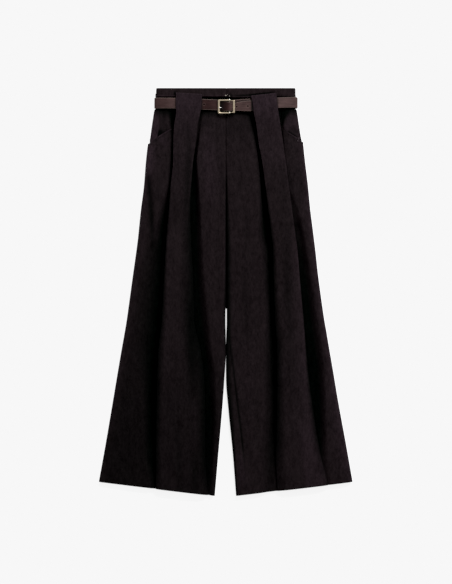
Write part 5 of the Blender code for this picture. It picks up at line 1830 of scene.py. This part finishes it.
def make_buckle():
    """Frame: between its outer and inner outlines each section is a rounded bar. The outlines are
    rectangles with round corners, narrower where the links join the loop to the end bar, and the links
    are thinner and lower. The centre bar, its two posts and their round heads are rods."""
    angle = np.linspace(0, 2 * math.pi, FRAME_RINGS, endpoint=False)[:, None]
    right = np.cos(angle) > 0
    outer, opening = BUCKLE_OUTER, BUCKLE_OPENING
    out_r = frame_outline(angle, np.where(right, outer["right"], outer["left"]), outer["loop"])
    in_r = frame_outline(angle, np.where(right, opening["right"], opening["left"]), opening["loop"])
    out_x, out_y = out_r * np.cos(angle), out_r * np.sin(angle)
    in_x, in_y = in_r * np.cos(angle), in_r * np.sin(angle)
    past_loop = above(out_x, LINK_FROM - LINK_STEP / 2, LINK_STEP)
    in_end = above(out_x, LINK_TO - LINK_STEP / 2, LINK_STEP)
    to_link, to_end = outer["link"] - outer["loop"], outer["end"] - outer["link"]
    limit = outer["loop"] + to_link * past_loop + to_end * in_end
    out_y = np.clip(out_y, -limit, limit)
    link = past_loop * (1 - in_end)
    u, v = rounded(FRAME_POINTS, FRAME_SQUARENESS)
    share = (u[None, :] + 1) / 2
    x = in_x + (out_x - in_x) * share
    y = in_y + (out_y - in_y) * share
    z = BUCKLE_THICK / 2 * v[None, :] * (1 - LINK_THINNER * link) - LINK_LOWER * link + 0 * x
    turned_x = x * math.cos(BUCKLE_TILT) - z * math.sin(BUCKLE_TILT)
    turned_z = x * math.sin(BUCKLE_TILT) + z * math.cos(BUCKLE_TILT)
    grid = in_space(turned_x, y, turned_z) + np.array(BUCKLE_AT)
    frame_faces = quads(*grid.shape[:2], wrap_rows=True, wrap_columns=True).tolist()
    bar = in_space(BAR_X, BUCKLE_Y + np.linspace(-HINGE_Y, HINGE_Y, BAR_RINGS), BAR_Z)
    shells = [(grid, frame_faces), rod(bar, np.full(BAR_RINGS, BAR_RADIUS))]
    for y_at in (BUCKLE_Y - HINGE_Y, BUCKLE_Y + HINGE_Y):
        rise = np.linspace(0, 1, POST_RINGS)
        head = POST_RADIUS + HEAD_WIDER * above(rise, *HEAD_FROM)
        post = in_space(BAR_X, y_at, BAR_Z - POST_BELOW + POST_HEIGHT * rise)
        shells.append(rod(post, head * blunted(rise, HEAD_ROUNDS)))
    piece = joined("buckle_champagne_frame", shells, GOLD)
    piece.data.materials.append(HEADS)
    polished = np.arange(len(piece.data.polygons)) >= len(frame_faces) + len(shells[1][1])
    piece.data.polygons.foreach_set("material_index", polished.astype(np.int32))
    ride_and_replace(piece, "buckle", "buckle_frame")


def blunted(share, start):
    """1 along a rod up to a share of it, then down to its tip as most of a quarter circle."""
    past = np.clip((share - start) / (1 - start), 0, 0.97)
    return np.sqrt(1 - past**2)


def rod(path, radii):
    """A round rod and its faces."""
    grid = tube(path, radii)
    return grid, closed_strip(grid)


def joined(name, shells, material):
    """Several closed shells as one mesh."""
    points, faces, start = [], [], 0
    for grid, cells in shells:
        points.append(grid.reshape(-1, 3))
        faces += [[start + i for i in cell] for cell in cells]
        start += len(points[-1])
    return outward(mesh_piece(name, np.concatenate(points), faces, material))


def make_prong():
    """The prong: a rod from its loop on the bar, through the strap, to its blunt tip on the frame."""
    rows = [(x, PRONG_Y, z) for x, z in PRONG_ROUTE]
    path = smooth_route(rows, spacing=PRONG_STEP)
    share = np.linspace(0, 1, len(path))
    radii = PRONG_RADIUS * blunted(share, PRONG_BLUNT)
    grid = tube(path, radii, PRONG_POINTS, PRONG_SQUARENESS)
    piece = outward(mesh_piece("buckle_nickel_prong", grid, closed_strip(grid), STEEL))
    ride_and_replace(piece, "prong", "buckle_prong")


# ---------------------------------------------------------------- studio
PIXEL = 2.6  # millimetres of the trousers' front face in one pixel of the picture
PICTURE = (452, 584)
PICTURE_CENTRE = (1.95, -0.3)
FACE_HEIGHT = 14
LENS = 85.0
SENSOR = 36.0
FLOOR_HALF = 6000
FLOOR_Z = -0.5
FLOOR_GLOW = 0.72
WORLD_LIGHT = 0.5
# The soft key light, in metres and watts.
KEY_PLACE = (1.35, 3.07, 2.43)
KEY_AIM = (0, 0.1, 0)
KEY_SIZE = (2.4, 1.4)
KEY_POWER = 190
# The tone curve: plain up to the shoulder, then to its white.
BLACK_LEVEL = 0.0022
SHOULDER = 0.88
WHITE = 0.93


def make_camera():
    """Straight above, so far away that the picture's height covers its size on the surface."""
    covered = PICTURE[1] * PIXEL * MM
    distance = covered * LENS / SENSOR
    camera = bpy.data.cameras.new("camera")
    camera.lens = LENS
    camera.sensor_width = SENSOR
    camera.sensor_fit = "AUTO"
    camera.clip_end = 30
    eye = bpy.data.objects.new("camera", camera)
    eye.location = (PICTURE_CENTRE[0] * MM, PICTURE_CENTRE[1] * MM, FACE_HEIGHT * MM + distance)
    bpy.context.scene.collection.objects.link(eye)
    bpy.context.scene.camera = eye


def make_floor():
    """A pale floor that glows a little, so that it stays as even as studio paper lit from below."""
    ring = ((-1, -1), (1, -1), (1, 1), (-1, 1))
    corners = np.array([[FLOOR_HALF * x, FLOOR_HALF * y, FLOOR_Z] for x, y in ring])
    material, shader = finish("studio_floor", FLOOR_WHITE, 0.9, 0.0)
    shader.inputs["Emission Color"].default_value = (1, 1, 1, 1)
    shader.inputs["Emission Strength"].default_value = FLOOR_GLOW
    mesh_piece("studio_floor", corners, [[0, 1, 2, 3]], material)


def softbox(name, place, aim, size, power):
    """An area light that faces a point."""
    light = bpy.data.lights.new(name, "AREA")
    light.shape = "RECTANGLE"
    light.size, light.size_y = size
    light.energy = power
    lamp = bpy.data.objects.new(name, light)
    lamp.location = place
    direction = np.subtract(place, aim)
    flat = math.hypot(direction[0], direction[1])
    lamp.rotation_euler = (math.atan2(flat, direction[2]), 0, math.atan2(direction[0], -direction[1]))
    bpy.context.scene.collection.objects.link(lamp)


def make_lights():
    """An even white world and one large soft light above the waist's upper right."""
    world = bpy.data.worlds.new("studio")
    world.use_nodes = True
    background = world.node_tree.nodes["Background"]
    background.inputs["Color"].default_value = (1, 1, 1, 1)
    background.inputs["Strength"].default_value = WORLD_LIGHT
    bpy.context.scene.world = world
    softbox("key", KEY_PLACE, KEY_AIM, KEY_SIZE, KEY_POWER)


def develop():
    """The picture's tone: plain, its blacks pressed a little and its white held just under full."""
    view = bpy.context.scene.view_settings
    view.view_transform = "Standard"
    view.look = "None"
    view.exposure = 0.0
    view.gamma = 1.0
    view.use_curve_mapping = True
    curve = view.curve_mapping
    curve.black_level = (BLACK_LEVEL, BLACK_LEVEL, BLACK_LEVEL)
    curve.extend = "HORIZONTAL"
    tone = curve.curves[3]
    tone.points.new(SHOULDER, SHOULDER)
    tone.points[-1].location = (1.0, WHITE)
    for point in tone.points:
        point.handle_type = "VECTOR"
    curve.update()


def main():
    """Studio first, then every piece of the garment."""
    make_camera()
    make_floor()
    make_lights()
    develop()
    for side in ("left", "right"):
        make_back(side)
        make_facing(side)
        make_front(side)
        make_panel(side)
    make_fly()
    make_waistband()
    make_loops()
    make_closure()
    make_sewing()
    make_belt()
    make_buckle()
    make_prong()


main()
